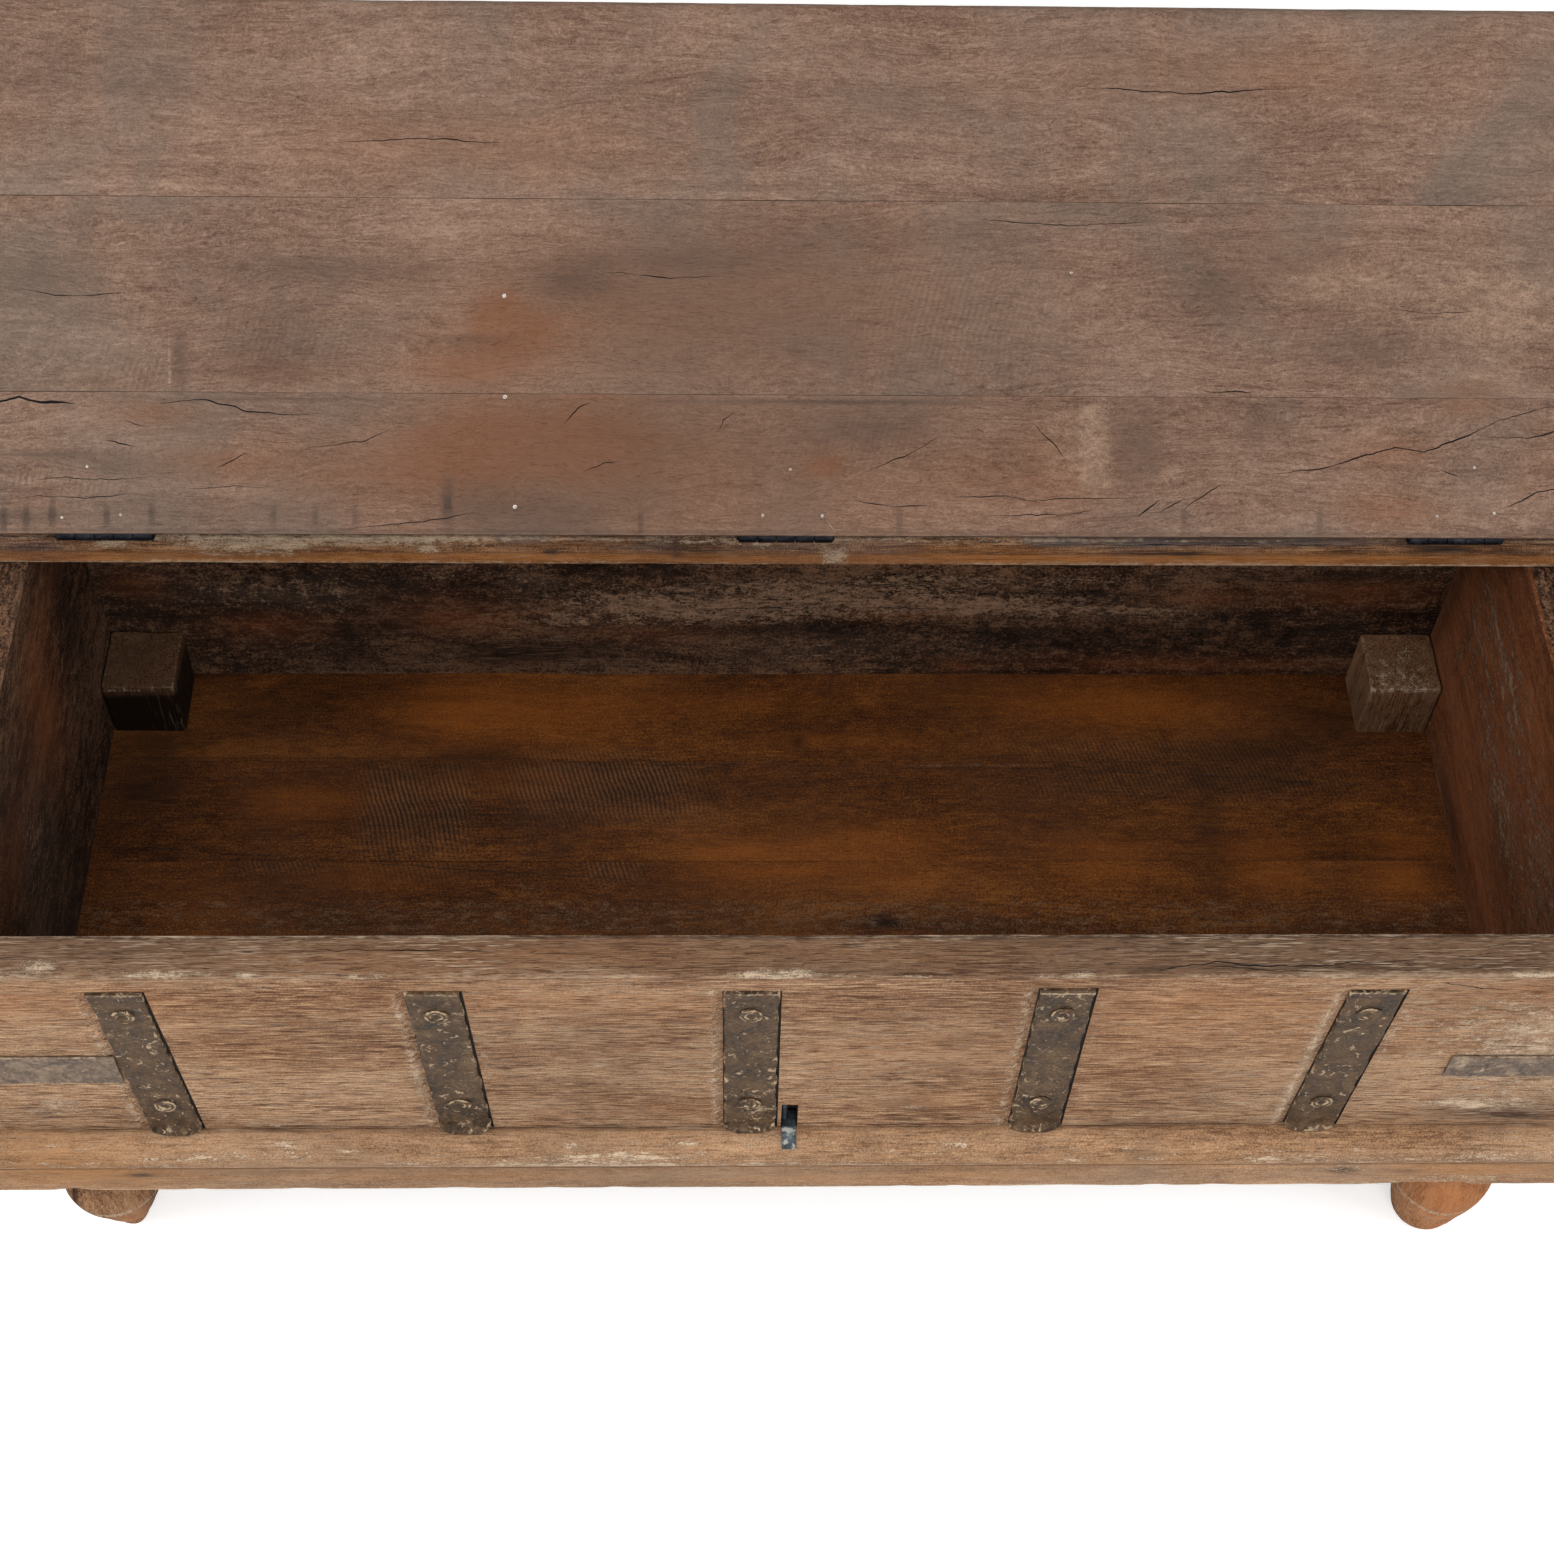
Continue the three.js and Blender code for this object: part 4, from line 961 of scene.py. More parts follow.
# %% The other two planks, and the boards
middle_plank_splits = lid_splits(
    UNDER,
    (0.7, 3, (271, 95), (289, 94.5), (300, 95), (309, 95)), (0.6, 3, (333, 95.5), (348, 95)),
    (0.6, 3, (392, 150), (420, 146), (455, 148)), (0.6, 3, (-500, 156), (-460, 152), (-420, 155)),
    (0.6, 3, (-120, 170), (-80, 166), (-40, 168)), (0.6, 3, (120, 205), (180, 201), (240, 204)),
)
middle_plank_dabs = {UNDER: marks(
    warm=[(-187, -138, 15, 17, 0.9), (-168, -130, 22, 14, 0.6), (-120, -140, 120, 50, 0.45),
          (-212, -108, 40, 20, 0.55), (20, -150, 120, 60, 0.35), (330, -178, 40, 26, 0.3),
          (448, -96, 28, 9, 0.45), (-330, -104, 40, 8, 0.3), (-440, -98, 36, 8, 0.35)],
    dark=[(-336, -117, 42, 28, 0.5), (-394, -110, 5, 24, 0.6), (-306, -170, 80, 11, 0.5),
          (-206, -124, 34, 3.4, 0.5), (-141, -164, 27, 13, 0.55), (279, -162, 32, 20, 0.55),
          (384, -124, 52, 14, 0.55), (-480, -165, 44, 12, 0.35), (-60, -178, 80, 10, 0.35),
          (40, -196, 90, 12, 0.3), (0, -140, 280, 60, 0.26)],
    dust=[(440, -150, 110, 60, 0.46), (-458, -111, 54, 28, 0.5, 4), (-400.5, -108, 1.4, 24, 0.8),
          (190, -130, 40, 30, 0.25), (350, -166, 44, 16, 0.4), (480, -150, 50, 40, 0.35),
          (440, -104, 60, 9, 0.25)],
    second=[(106, -143, 60, 44, 0.6), (-423, -103, 20, 10, 0.9), (-336, -125, 44, 24, 0.5),
            (384, -130, 60, 20, 0.4)])}
front_plank_splits = lid_splits(
    UNDER, (0.8, 3, (-300, 250), (-240, 254), (-180, 251)), (0.8, 3, (180, 290), (260, 286), (340, 291))
) + lid_splits(
    TOP, (1.0, 4, (-520, 280), (-420, 284), (-330, 281)), (1.0, 4, (260, 240), (360, 236), (480, 239))
)
lid_boards = {
    "lid_underside_plank_rear": ("lid_plank_rear", [FRONT], rear_plank_splits, rear_plank_dabs, 5),
    "lid_underside_plank_middle": ("lid_plank_middle", [FRONT, REAR], middle_plank_splits,
                                   middle_plank_dabs, 7),
    "lid_underside_plank_front": ("lid_plank_front", [REAR], front_plank_splits, {UNDER: marks(
        warm=[(-200, -250, 120, 24, 0.35), (300, -300, 120, 20, 0.3)],
        dark=[(60, -280, 160, 20, 0.25), (-420, -290, 90, 18, 0.3)],
        dust=[(420, -250, 90, 20, 0.25)])}, 9),
}
# Extra lines of points, so that narrow marks have points to be painted on.
extra_lines = {
    "rear": sorted(x + share * reach for x, _, reach, _ in edge_bars for share in (-1.6, -0.6, 0.6, 1.6)),
    "middle": [-405, -402, -400.5, -399, -396], "front": [],
}
for name, (node, meets, splits, dabs, seed) in lid_boards.items():
    part = name.rsplit("_", 1)[1]
    board(name, node, "lid_wood", "lid", lid_place, ragged=1.4 * mm, ease=0.9 * mm, hollow=0.3 * mm,
          meets=meets, longer=[(REAR, 1.35)] if part == "rear" else [], dabs=dabs, splits=splits,
          also=[line * mm for line in extra_lines[part]],
          nosing=(FRONT, 7 * mm) if part == "front" else None, seed=seed)

# %% [markdown]
# ## The rear and side walls
# The walls were never brushed on the inside. The rear wall is the darkest, with plaster-grey crusts along
# its middle. The side boards stand between the front and the rear, so their grain runs along Y. The outside
# of these walls was brushed like the front, so it takes the front's finish.

# %% The rear wall
rear_dabs = {FRONT: marks(
    dust=[(-390, 282, 70, 11, 0.5), (-400, 262, 50, 8, 0.35), (-330, 268, 6, 24, 0.45),
          (-356, 272, 4, 26, 0.45), (-250, 293, 24, 5, 0.5), (-159, 243, 26, 6, 0.6),
          (-124, 268, 40, 12, 0.4), (-104, 258, 64, 20, 0.45), (-50, 250, 60, 13, 0.4),
          (60, 266, 130, 20, 0.55), (20, 250, 60, 7, 0.35), (113, 293, 66, 9, 0.55),
          (190, 258, 84, 12, 0.55), (284, 254.5, 50, 6, 0.65), (230, 292, 46, 8, 0.5),
          (130, 262, 40, 10, 0.3), (-170, 244, 20, 5, 0.5), (30, 280, 60, 5, 0.3), (-10, 288, 50, 6, 0.5),
          (48, 205, 140, 16, 0.3), (368, 192, 23, 5, 0.6), (468, 303, 36, 6, 0.5), (412, 258, 7, 5, 0.6),
          (-186, 286, 22, 12, 0.35), (-60, 264, 110, 15, 0.22), (130, 264, 140, 14, 0.25),
          (60, 284, 130, 9, 0.2)],
    dark=[(-328, 209, 13, 26, 0.6), (-220, 204, 40, 16, 0.7), (-162, 204, 52, 16, 0.6),
          (-290, 240, 26, 40, 0.35), (98, 259, 28, 1.6, 0.9), (-3, 268.7, 18, 2, 0.7),
          (221, 276.7, 38, 3, 0.7), (219, 247, 5, 3, 0.8), (412, 258, 3, 2, 0.8), (250, 218, 60, 15, 0.5),
          (380, 230, 60, 16, 0.4), (60, 232, 220, 6, 0.4), (-230, 264, 22, 20, 0.4),
          (-440, 232, 30, 14, 0.3), (400, 296, 50, 6, 0.35), (-330, 230, 60, 8, 0.4), (10, 232, 60, 8, 0.35),
          (150, 286, 40, 2, 0.7), (30, 272, 50, 1.6, 0.6), (-90, 276, 30, 1.6, 0.6)],
    warm=[(-480, 282, 22, 16, 0.6), (-249, 247, 48, 22, 0.5), (92, 253, 46, 8, 0.6), (144, 186, 16, 9, 0.5),
          (446, 277, 58, 15, 0.7), (324, 189, 128, 11, 0.5), (-390, 234, 46, 18, 0.5),
          (-100, 228, 60, 12, 0.3), (330, 272, 40, 12, 0.35), (130, 262, 60, 5, 0.5)],
    second=[(-390, 272, 76, 16, 0.8), (-186, 286, 22, 16, 0.6), (48, 210, 150, 18, 0.4)])}
rear_splits = cuts(
    FRONT, (1.3, 4, (185, 277), (205, 276.5), (230, 277), (256, 276)),
    (1.3, 4, (68, 258.5), (84, 259.5), (104, 258), (127, 259)), (1.1, 3, (-22, 268), (-8, 269), (16, 268.5)),
    (1.6, 5, (216, 247), (221, 247.6), (226, 247)), (1.0, 3, (-30, 244), (-24, 248), (-18, 243)),
    (1.4, 4, (-430, 214), (-390, 212), (-340, 213)),
    (1.0, 3, (-110, 272), (-80, 276), (-50, 274), (-20, 277)),
    (1.0, 3, (40, 288), (90, 286), (140, 289), (180, 287)), (1.0, 3, (-60, 256), (-20, 259), (30, 256)),
    (1.2, 4, (-380, 204), (-330, 206), (-300, 203)), (1.2, 3, (300, 296), (380, 292), (460, 294))
)
rear_dabs[REAR] = marks(
    warm=[(-380, 330, 110, 40, 0.3), (240, 380, 130, 26, 0.35), (60, 290, 90, 30, 0.25)],
    dark=[(0, 236, 600, 9, 0.45, 4), (-160, 300, 120, 26, 0.2), (400, 290, 90, 30, 0.2)],
    dust=[(-250, 262, 120, 18, 0.3), (300, 256, 140, 14, 0.3)],
    second=[(-60, 380, 160, 24, 0.3)])
rear_splits += cuts(
    REAR, (1.2, 4, (-470, 300), (-400, 304), (-320, 299)), (1.0, 3, (150, 350), (240, 346), (330, 351))
)
board("rear_wall_board", "rear_board", "wall_wood", splits=rear_splits, dabs=rear_dabs, ragged=2 * mm,
      hollow=1.4 * mm, brushed=(REAR, LEFT, RIGHT), seed=11)

# %% The side walls
side_dabs = {
    "left": {RIGHT: marks(
        # The first dark dab is painted shade over the inside of the left wall.
        dark=[(0, 300, 250, 150, 0.13, 4), (78, 328, 26, 60, 0.6), (24, 228, 26, 34, 0.35)],
        warm=[(-18, 331, 40, 50, 0.7), (-140, 340, 60, 30, 0.4), (40, 380, 80, 24, 0.4)],
        dust=[(-106, 293, 28, 60, 0.4), (-90, 300, 12, 8, 0.6), (-180, 260, 40, 60, 0.3)],
        second=[(-110, 300, 70, 100, 0.6)])},
    "right": {LEFT: marks(
        # The first warm dab lightens and warms the inside of the right wall: painted light, and a warmer
        # tone.
        warm=[(0, 300, 190, 150, 0.9, 4), (-36, 331, 28, 28, 0.5), (-30, 240, 60, 24, 0.4)],
        dust=[(84, 307, 10, 70, 0.4), (60, 300, 4, 60, 0.35), (20, 350, 60, 10, 0.35),
              # The wide dust dab at (-60, 300) lightens the wall as painted light.
              (-60, 290, 60, 14, 0.35), (-150, 330, 60, 30, 0.3), (-60, 300, 140, 90, 0.25, 4),
              (0, 372, 70, 3, 0.5), (30, 352, 60, 2.5, 0.6), (-20, 336, 80, 2.5, 0.5),
              (40, 318, 60, 2.5, 0.6), (10, 296, 70, 2.5, 0.5), (-80, 276, 60, 3, 0.4)],
        dark=[(-4, 188, 56, 16, 0.6), (128, 300, 10, 90, 0.5), (-89, 258, 29, 20, 0.4)])},
}
side_splits = {
    "left": cuts(
        RIGHT, (1.0, 3, (-200, 300), (-150, 304), (-90, 299))
    ) + cuts(
        TOP, (1.2, 4, (-524, -200), (-523, -120))
    ),
    "right": cuts(
        LEFT, (1.0, 3, (-120, 250), (-60, 254), (0, 251))
    ) + cuts(
        TOP, (1.2, 4, (526, -160), (525, -60))
    ),
}
for number, (side, outside) in enumerate((("left", LEFT), ("right", RIGHT))):
    side_dabs[side][outside] = marks(
        warm=[(-120, 380, 90, 26, 0.35), (60, 300, 80, 30, 0.25)],
        dark=[(-60, 236, 300, 9, 0.45, 4), (90, 340, 50, 26, 0.2)],
        dust=[(-150, 262, 80, 16, 0.3)],
        second=[(0, 270, 90, 20, 0.3)])
    side_splits[side] += cuts(outside, (1.2, 4, (-40, 330), (20, 334), (90, 329)))
    board(f"{side}_wall_board", f"{side}_side_board", "wall_wood", along=1, splits=side_splits[side],
          dabs=side_dabs[side], hollow=1.0 * mm, brushed=(outside,), seed=13 + 2 * number)

# %% [markdown]
# ## The floor
# The floor planks are smooth and red brown, with ripples across the grain where a planer chattered. The
# ripples are pressed into the points, so that low light finds them, and their light and shade is also
# painted as soft bars. One seam of the real floor runs aslant, so it is cut here as a line of splits.

# %% Marks of the floor planks
def chatter_dabs(*places):
    """Dabs of the second mask with a firm edge, where the planer left ripples."""
    return [("second", x, y, reach, height, amount, 4) for x, y, reach, height, amount in places]


floor_dabs = {
    "front": {TOP: marks(
        warm=[(-298, -48, 60, 12, 0.4), (-424, -90, 44, 40, 0.25), (-43, -44, 45, 16, 0.4),
              (62, -44, 83, 16, 0.5), (243, -44, 45, 16, 0.5), (372, -46, 38, 20, 0.5),
              (468, -46, 30, 30, 0.6)],
        dark=[(-230, -46, 70, 4, 0.4), (76, -88, 14, 6, 0.95), (120, -92, 150, 6, 0.5),
              (328, -50, 11, 30, 0.4), (-167, -44, 15, 9, 0.5), (-70, -75, 60, 30, 0.25),
              (440, -92, 90, 6, 0.4)],
        dust=[(-186, -60, 13, 8, 0.5), (0, -84, 900, 16, 0.44, 8)]
    ) + chatter_dabs(
        (-365, -38, 38, 9, 0.5), (-122, -40, 24, 14, 0.7), (-274, -44, 44, 9, 0.5)
    )},
    "middle": {TOP: marks(
        warm=[(-361, 16, 46, 20, 0.6), (-43, -28, 45, 14, 0.4), (62, -20, 83, 20, 0.5),
              (243, -24, 46, 14, 0.5), (372, -26, 38, 14, 0.5), (476, -20, 34, 18, 0.6),
              (-200, 40, 60, 16, 0.3)],
        dark=[(-478, 40, 34, 24, 0.6), (-483, 20, 26, 22, 0.5), (-231, 50, 40, 8, 0.5),
              (328, 0, 12, 60, 0.4), (370, 40, 55, 14, 0.4), (-167, -25, 15, 10, 0.4), (417, 5, 4, 3, 0.8),
              (-38, 44, 4, 3, 0.7), (0, 10, 70, 30, 0.2), (200, 20, 60, 24, 0.2), (160, 49, 130, 2, 0.4)],
        dust=[(150, 53, 70, 1.8, 0.7), (-150, 48, 60, 8, 0.25)]
    ) + chatter_dabs(
        (-274, 9, 45, 46, 0.6), (-292, 23, 21, 28, 0.6), (-245, 27, 11, 31, 0.6), (-129, 29, 80, 30, 0.6),
        (-142, 39, 66, 16, 0.8), (316, 40, 126, 20, 0.45)
    )},
    "rear": {TOP: marks(
        warm=[(-244, 104, 48, 28, 0.7), (-168, 100, 54, 24, 0.6), (265, 112, 96, 26, 0.6),
              (-60, 110, 90, 14, 0.3), (60, 76, 90, 12, 0.3)],
        dark=[(-478, 70, 36, 24, 0.7), (-231, 62, 40, 7, 0.55), (370, 68, 56, 18, 0.6),
              (440, 96, 40, 30, 0.5), (17, 74, 5, 5, 0.9), (0, 84, 70, 10, 0.25), (-370, 59, 140, 1.4, 0.5),
              (-400, 100, 50, 30, 0.4), (120, 60, 150, 4, 0.3)]
    ) + chatter_dabs(
        (316, 64, 126, 16, 0.4), (-142, 62, 60, 6, 0.4)
    )},
}
print("marks on the floor planks:", {part: len(dabs[TOP]) for part, dabs in floor_dabs.items()})

# %% Seams, ripples and the three planks
seam = [(x, -20 - 0.0804 * (x + 510)) for x in (-506, -460, -415, -366, -300, -233, -160, -80, 0, 91, 190,
                                                291, 380, 434, 500)]
floor_splits = {
    "front": cuts(TOP, (0.9, 3, *seam[3:8]), (0.5, 2, *seam[8:]), (0.8, 3, (66, -86), (78, -88), (90, -86))),
    "middle": cuts(
        TOP, (1.0, 3, *seam[:4]), (0.7, 3, (-200, 54.5), (-60, 53.5), (80, 52.5), (142, 51.5)),
        (0.8, 3, (170, 51), (260, 47), (330, 43), (404, 38), (490, 33))
    ),
    "rear": cuts(TOP, (0.8, 3, (-330, 100), (-320, 97), (-310, 99))),
}


def planer_ripples(face_z, middle, reach, pitch, depth):
    """Ripples across the grain inside an ellipse, sunk into the points of a face."""
    def shape(points):
        offset = (points[:, :2] / mm - middle) / reach
        inside = np.exp(-np.sum(offset ** 4, axis=1)) * (np.abs(points[:, 2] - face_z) < 1.5 * mm)
        bend = (points[:, 1] / mm - middle[1]) ** 2 / 260  # each ripple is a flat arc
        wave = np.sin((points[:, 0] / mm + bend) * 2 * math.pi / pitch)
        return points - np.outer(inside * (0.5 + 0.5 * wave) * depth, (0, 0, 1))
    return shape


floor_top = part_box("floor_plank_middle")[1].z
floor_shapes = {
    "front": planer_ripples(floor_top, (-122, -40), (26, 16), 9.0, 0.2 * mm),
    "middle": planer_ripples(floor_top, (-140, 36), (80, 26), 10.0, 0.2 * mm),
    "rear": planer_ripples(floor_top, (316, 66), (126, 20), 10.0, 0.2 * mm),
}
floor_meets = {"front": [REAR], "middle": [FRONT, REAR], "rear": [FRONT]}
for number, (part, meets) in enumerate(floor_meets.items()):
    board(f"{part}_floor_board", f"floor_plank_{part}", "floor_wood", step=5 * mm, ease=0.5 * mm,
          ragged=0.7 * mm, hollow=0.4 * mm, meets=meets, splits=floor_splits[part], dabs=floor_dabs[part],
          shape=floor_shapes[part], seed=17 + 2 * number)

# %% [markdown]
# ## The fixed top board
# Its front edge was planed to bare orange wood when the trunk was made over, and the arris above it is
# broken and filled with pale paste. The wear of that one arris is stronger than anywhere else.

# %% The fixed board
fixed_low, fixed_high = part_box("fixed_top_board")
fixed_dabs = {FRONT: marks(
    warm=[(0, 430, 900, 6.5, 0.75, 8), (300, 436, 160, 5, 0.3), (-160, 446, 60, 4, 0.4),
          (130, 441, 60, 4, 0.4)],
    dust=[(-308, 446, 120, 4.5, 0.7, 4), (-360, 438, 38, 7, 0.6, 4), (-451, 444, 12, 4, 0.9, 4),
          (-377, 443, 10, 3.5, 0.95, 4), (-331, 443, 10, 3.5, 0.95, 4), (-243, 439, 6, 3, 0.9),
          (34, 434, 9, 9, 0.95, 6), (-40, 447, 60, 3, 0.55), (-15, 444, 6, 3, 0.6), (100, 447, 40, 3, 0.4),
          (-238, 439, 7, 3, 0.7)],
    second=[(290, 447, 120, 3.4, 0.6, 4), (-177, 448, 15, 3, 0.9, 4), (182, 448, 17, 3, 0.9, 4)],
    dark=[(-360, 432, 42, 4, 0.4), (-158, 437, 4.5, 3, 0.95), (-72, 434, 4.5, 3, 0.95),
          (273, 436, 7, 2.5, 0.9), (262, 437, 42, 1.6, 0.5), (446, 443, 24, 5, 0.9, 4),
          (300, 449, 130, 1.6, 0.6, 4), (0, 436, 900, 1.2, 0.35, 4), (-100, 446, 60, 2, 0.4),
          (0, 425.2, 900, 1.0, 0.5, 4)]),
    TOP: marks(
        dust=[(-308, 46, 120, 5, 0.7, 4), (-40, 46, 60, 4, 0.4), (120, 46, 60, 4, 0.3)],
        second=[(-177, 52, 17, 16, 1.0, 8), (182, 52, 18, 16, 1.0, 8), (290, 46, 130, 5, 0.5, 4)],
        dark=[(446, 46, 26, 6, 0.7, 4), (300, 50, 120, 3, 0.5)])}
edge_z = fixed_high.z / mm
fixed_splits = cuts(
    FRONT, (1.3, 4, (222, edge_z - 14), (262, edge_z - 13), (300, edge_z - 12)),
    (1.6, 4, (426, edge_z - 7), (446, edge_z - 9), (468, edge_z - 7)),
    (1.2, 3, (165, edge_z - 4), (230, edge_z - 5), (310, edge_z - 4), (420, edge_z - 4))
) + cuts(
    TOP, (1.2, 4, (-500, 90), (-380, 94), (-260, 91)), (1.0, 4, (180, 130), (300, 126), (430, 131))
)
board("fixed_rear_top_board", "fixed_top_board", "fixed_top_wood", step=4 * mm, ease=0.9 * mm,
      ragged=0.8 * mm, broken=(FRONT, TOP, 4.0 * mm), hollow=0.4 * mm, splits=fixed_splits, dabs=fixed_dabs,
      seed=25)

# %% [markdown]
# ## The base moulding
# A half round above a flat band, planed on one long strip and cut to length with mitres. It is swept
# here: one fine section, set out again and again along the run, with each point running past the corner
# by as much as it stands out. Small chips and the chatter of the plane are pressed in afterwards.

# %% Sweep a section
carcass = Vector((0, (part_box("front_board")[0].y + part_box("rear_board")[1].y) / 2, 0))
half_length = front_high.x
half_depth = carcass.y - front_low.y
ROUND_CENTRE, ROUND_RADIUS = 207, 18  # the half round's height above the ground, and its radius
LOW_ARRIS, QUIRK, SHELF = 157, 193, 220  # heights of the lower arris, the inner corner and the flat top


def moulding_section():
    """Places out from the wall and up from the ground, round the section."""
    low_angle = math.pi + math.acos(10 / ROUND_RADIUS)
    angles = np.linspace(math.pi / 2, low_angle, 30)
    arc = np.stack((-ROUND_RADIUS * np.cos(angles), ROUND_CENTRE + ROUND_RADIUS * np.sin(angles)), axis=1)
    band_top = arc[-1, 1]
    drop = np.concatenate((band_top - np.array((0.6, 1.5, 2.0, 2.7)), np.linspace(band_top - 4.5, 158, 11)))
    band = np.stack((np.full(15, 12.0), drop), axis=1)
    band[:3, 0] = 9.2, 10.6, 11.6
    under = np.array([(11.7, 156.6), (10.8, 155.5), (9.6, 155), (5, 155), (0, 155)])
    wall = np.stack((np.zeros(8), np.linspace(165, 216, 8)), axis=1)
    return np.concatenate((arc, band, under, wall)) * mm


def moulding_run(name, node, half_run, face, turn, seed, dabs=(), chips=()):
    """One run: half its length, how far the wall's face lies from the middle, and the turn of that side."""
    section = moulding_section()
    count = max(60, round(2 * half_run / (4 * mm)))
    rings = []
    for share in np.linspace(-1, 1, count):
        ring = np.empty((len(section), 3))
        ring[:, 0] = share * (half_run + section[:, 0] - 0.15 * mm)
        ring[:, 1] = -face - np.where(section[:, 0] > 0.5 * mm, 0.3, 0.0) * mm - section[:, 0]
        ring[:, 2] = section[:, 1]
        rings.append(ring)
    points, faces = ringed(rings)
    out = np.tile(section[:, 0], count)
    proud = out > 1 * mm
    centre = np.column_stack((points[:, 0], np.full(len(points), -face), np.full(len(points), 200 * mm)))
    inward = centre - points
    inward /= np.linalg.norm(inward, axis=1, keepdims=True)
    up = points[:, 2] / mm
    dent = (rumple(points, np.array((60, 9, 9)) * mm, seed) + 1) * 0.18
    dent += np.clip(rumple(points, np.array((16, 5, 5)) * mm, seed + 1) - 0.35, 0, 1) * 0.7
    dent += bell(up, LOW_ARRIS, 3) * np.clip(rumple(points, 22 * mm, seed + 2) - 0.1, 0, 1) * 2.2
    dent += bell(up, QUIRK, 2.5) * np.clip(rumple(points, 18 * mm, seed + 3), 0, 1) * 0.6
    ends = half_run + out - np.abs(points[:, 0])
    dent += 0.7 * bell(ends, 0, 1.6 * mm)
    for x, z, reach, height, depth in chips:
        dent += depth * spot(points[:, 0] / mm, up, (x, z), (reach, height))
    points = points + inward * (dent * proud * mm)[:, None]
    mesh = mesh_of(name, points, faces)
    masks = blank_masks(points)
    up = points[:, 2] / mm
    for mask, along, level, reach, height, amount in dabs:
        masks[:, MASKS[mask]] += amount * spot(points[:, 0] / mm, up, (along, level), (reach, height))
    wear = bell(up, LOW_ARRIS, 2.5) + bell(ends, 0, 5 * mm)
    patchy = np.clip(0.6 + 0.7 * rumple(points, np.array((30, 9, 9)) * mm, seed + 5), 0, 1)
    streaky = np.clip(0.5 + 0.9 * rumple(points, np.array((70, 9, 9)) * mm, seed + 6), 0, 1)
    masks[:, WARM] += 0.5 * bell(up, QUIRK, 5)
    # Painted shade: a dark line in the quirk under the half round, and a darker lower part of the round.
    masks[:, DARK] += bell(up, 190.9, 1.9, 4) * (0.62 + 0.35 * patchy)
    masks[:, DARK] += 0.4 * bell(up, 196, 3)
    masks[:, DARK] += (up > SHELF) * bell(out, 0, 1.9 * mm) * (0.45 + 0.55 * patchy)
    # Pale dust along the front of the round, partly worn fibres and partly a painted highlight, and fainter
    # above it.
    masks[:, DUST] += 0.75 * bell(up, 201, 4) * patchy * streaky + 0.25 * bell(up, 210, 5) * patchy
    masks[:, SECOND] += 0.5 * (up < 189) * streaky
    write_masks(mesh, grain_of(points, seed), masks, wear)
    piece = add_object(name, mesh)
    mesh.transform(Matrix.Translation(carcass) @ Matrix.Rotation(turn, 4, "Z"))
    print(name, len(mesh.polygons), "faces")
    return dress(piece, "chest", "moulding_wood", (node,), sharp=28)


print("the section of the moulding has", len(moulding_section()), "points")

# %% Marks and chips of the front run, and the four runs
front_marks = marks(
    dark=[(-436, 180, 8, 4, 0.9), (-436, 180, 24, 3, 0.4), (384, 180, 8, 5, 0.9), (384, 180, 30, 3, 0.45),
          (-455, 168, 12, 4, 0.4), (430, 178, 14, 4, 0.5), (242, 212, 7, 5, 0.7), (-300, 200, 260, 60, 0.16),
          (-120, 186, 60, 5, 0.35), (100, 184, 70, 4, 0.35), (-330, 184, 60, 4, 0.35)],
    second=[(242, 208, 18, 12, 0.6), (242, 190, 12, 26, 0.6), (-100, 170, 120, 12, 0.3),
            (400, 208, 60, 8, 0.4)],
    warm=[(-470, 180, 70, 20, 0.6), (480, 178, 60, 16, 0.6), (250, 205, 60, 8, 0.4), (20, 170, 90, 8, 0.35),
          (-220, 176, 90, 9, 0.35), (150, 176, 60, 8, 0.3)],
    dust=[(-60, 196, 26, 3, 0.6), (440, 158, 60, 3, 0.9), (480, 210, 40, 6, 0.35), (-150, 206, 70, 6, 0.3),
          (330, 208, 50, 6, 0.35), (-370, 216, 40, 3, 0.35), (-104, 214, 60, 5, 0.4),
          (200, 200, 60, 4, 0.3)])
dice = np.random.default_rng(5)
front_marks += [("dust", dice.uniform(-540, 540), dice.uniform(196, 222), dice.uniform(3, 12), 1.2,
                 dice.uniform(0.4, 0.85)) for _ in range(70)]
front_marks += marks(
    dust=[(387, 182, 19, 8, 0.5), (475, 168, 58, 6, 0.5), (-392, 214, 16, 3, 0.5), (-327, 216, 12, 5, 0.4),
          (-120, 202, 110, 4, 0.5)],
    warm=[(-490, 205, 46, 22, 0.5)])
front_chips = [(445, 156, 22, 3, 2.2), (470, 156, 9, 3, 2.0), (-60, 192, 12, 2, 0.8), (300, 156, 8, 2, 1.2),
               (-330, 156, 10, 2, 1.2), (120, 156, 7, 2, 1.0), (-486, 157, 9, 3, 1.4), (30, 193, 16, 2, 0.7)]
quarter = math.pi / 2
runs = {"front": (half_length, half_depth, 0), "right": (half_depth, half_length, quarter),
        "rear": (half_length, half_depth, 2 * quarter), "left": (half_depth, half_length, -quarter)}
for number, (side, (half_run, face, turn)) in enumerate(runs.items()):
    moulding_run(f"{side}_moulding_run", f"base_moulding_{side}", half_run, face, turn, 31 + number,
                 front_marks if side == "front" else [], chips=front_chips if side == "front" else [])

# %% [markdown]
# ## The turned legs
# A wood turner starts from a square timber and leaves the head and a short block square. The foot is a
# profile of radii turned about the leg's own axis. The real turning is a little out of round and bruised,
# so each ring of points is pressed in by noise, and a double line is scored round the widest part.

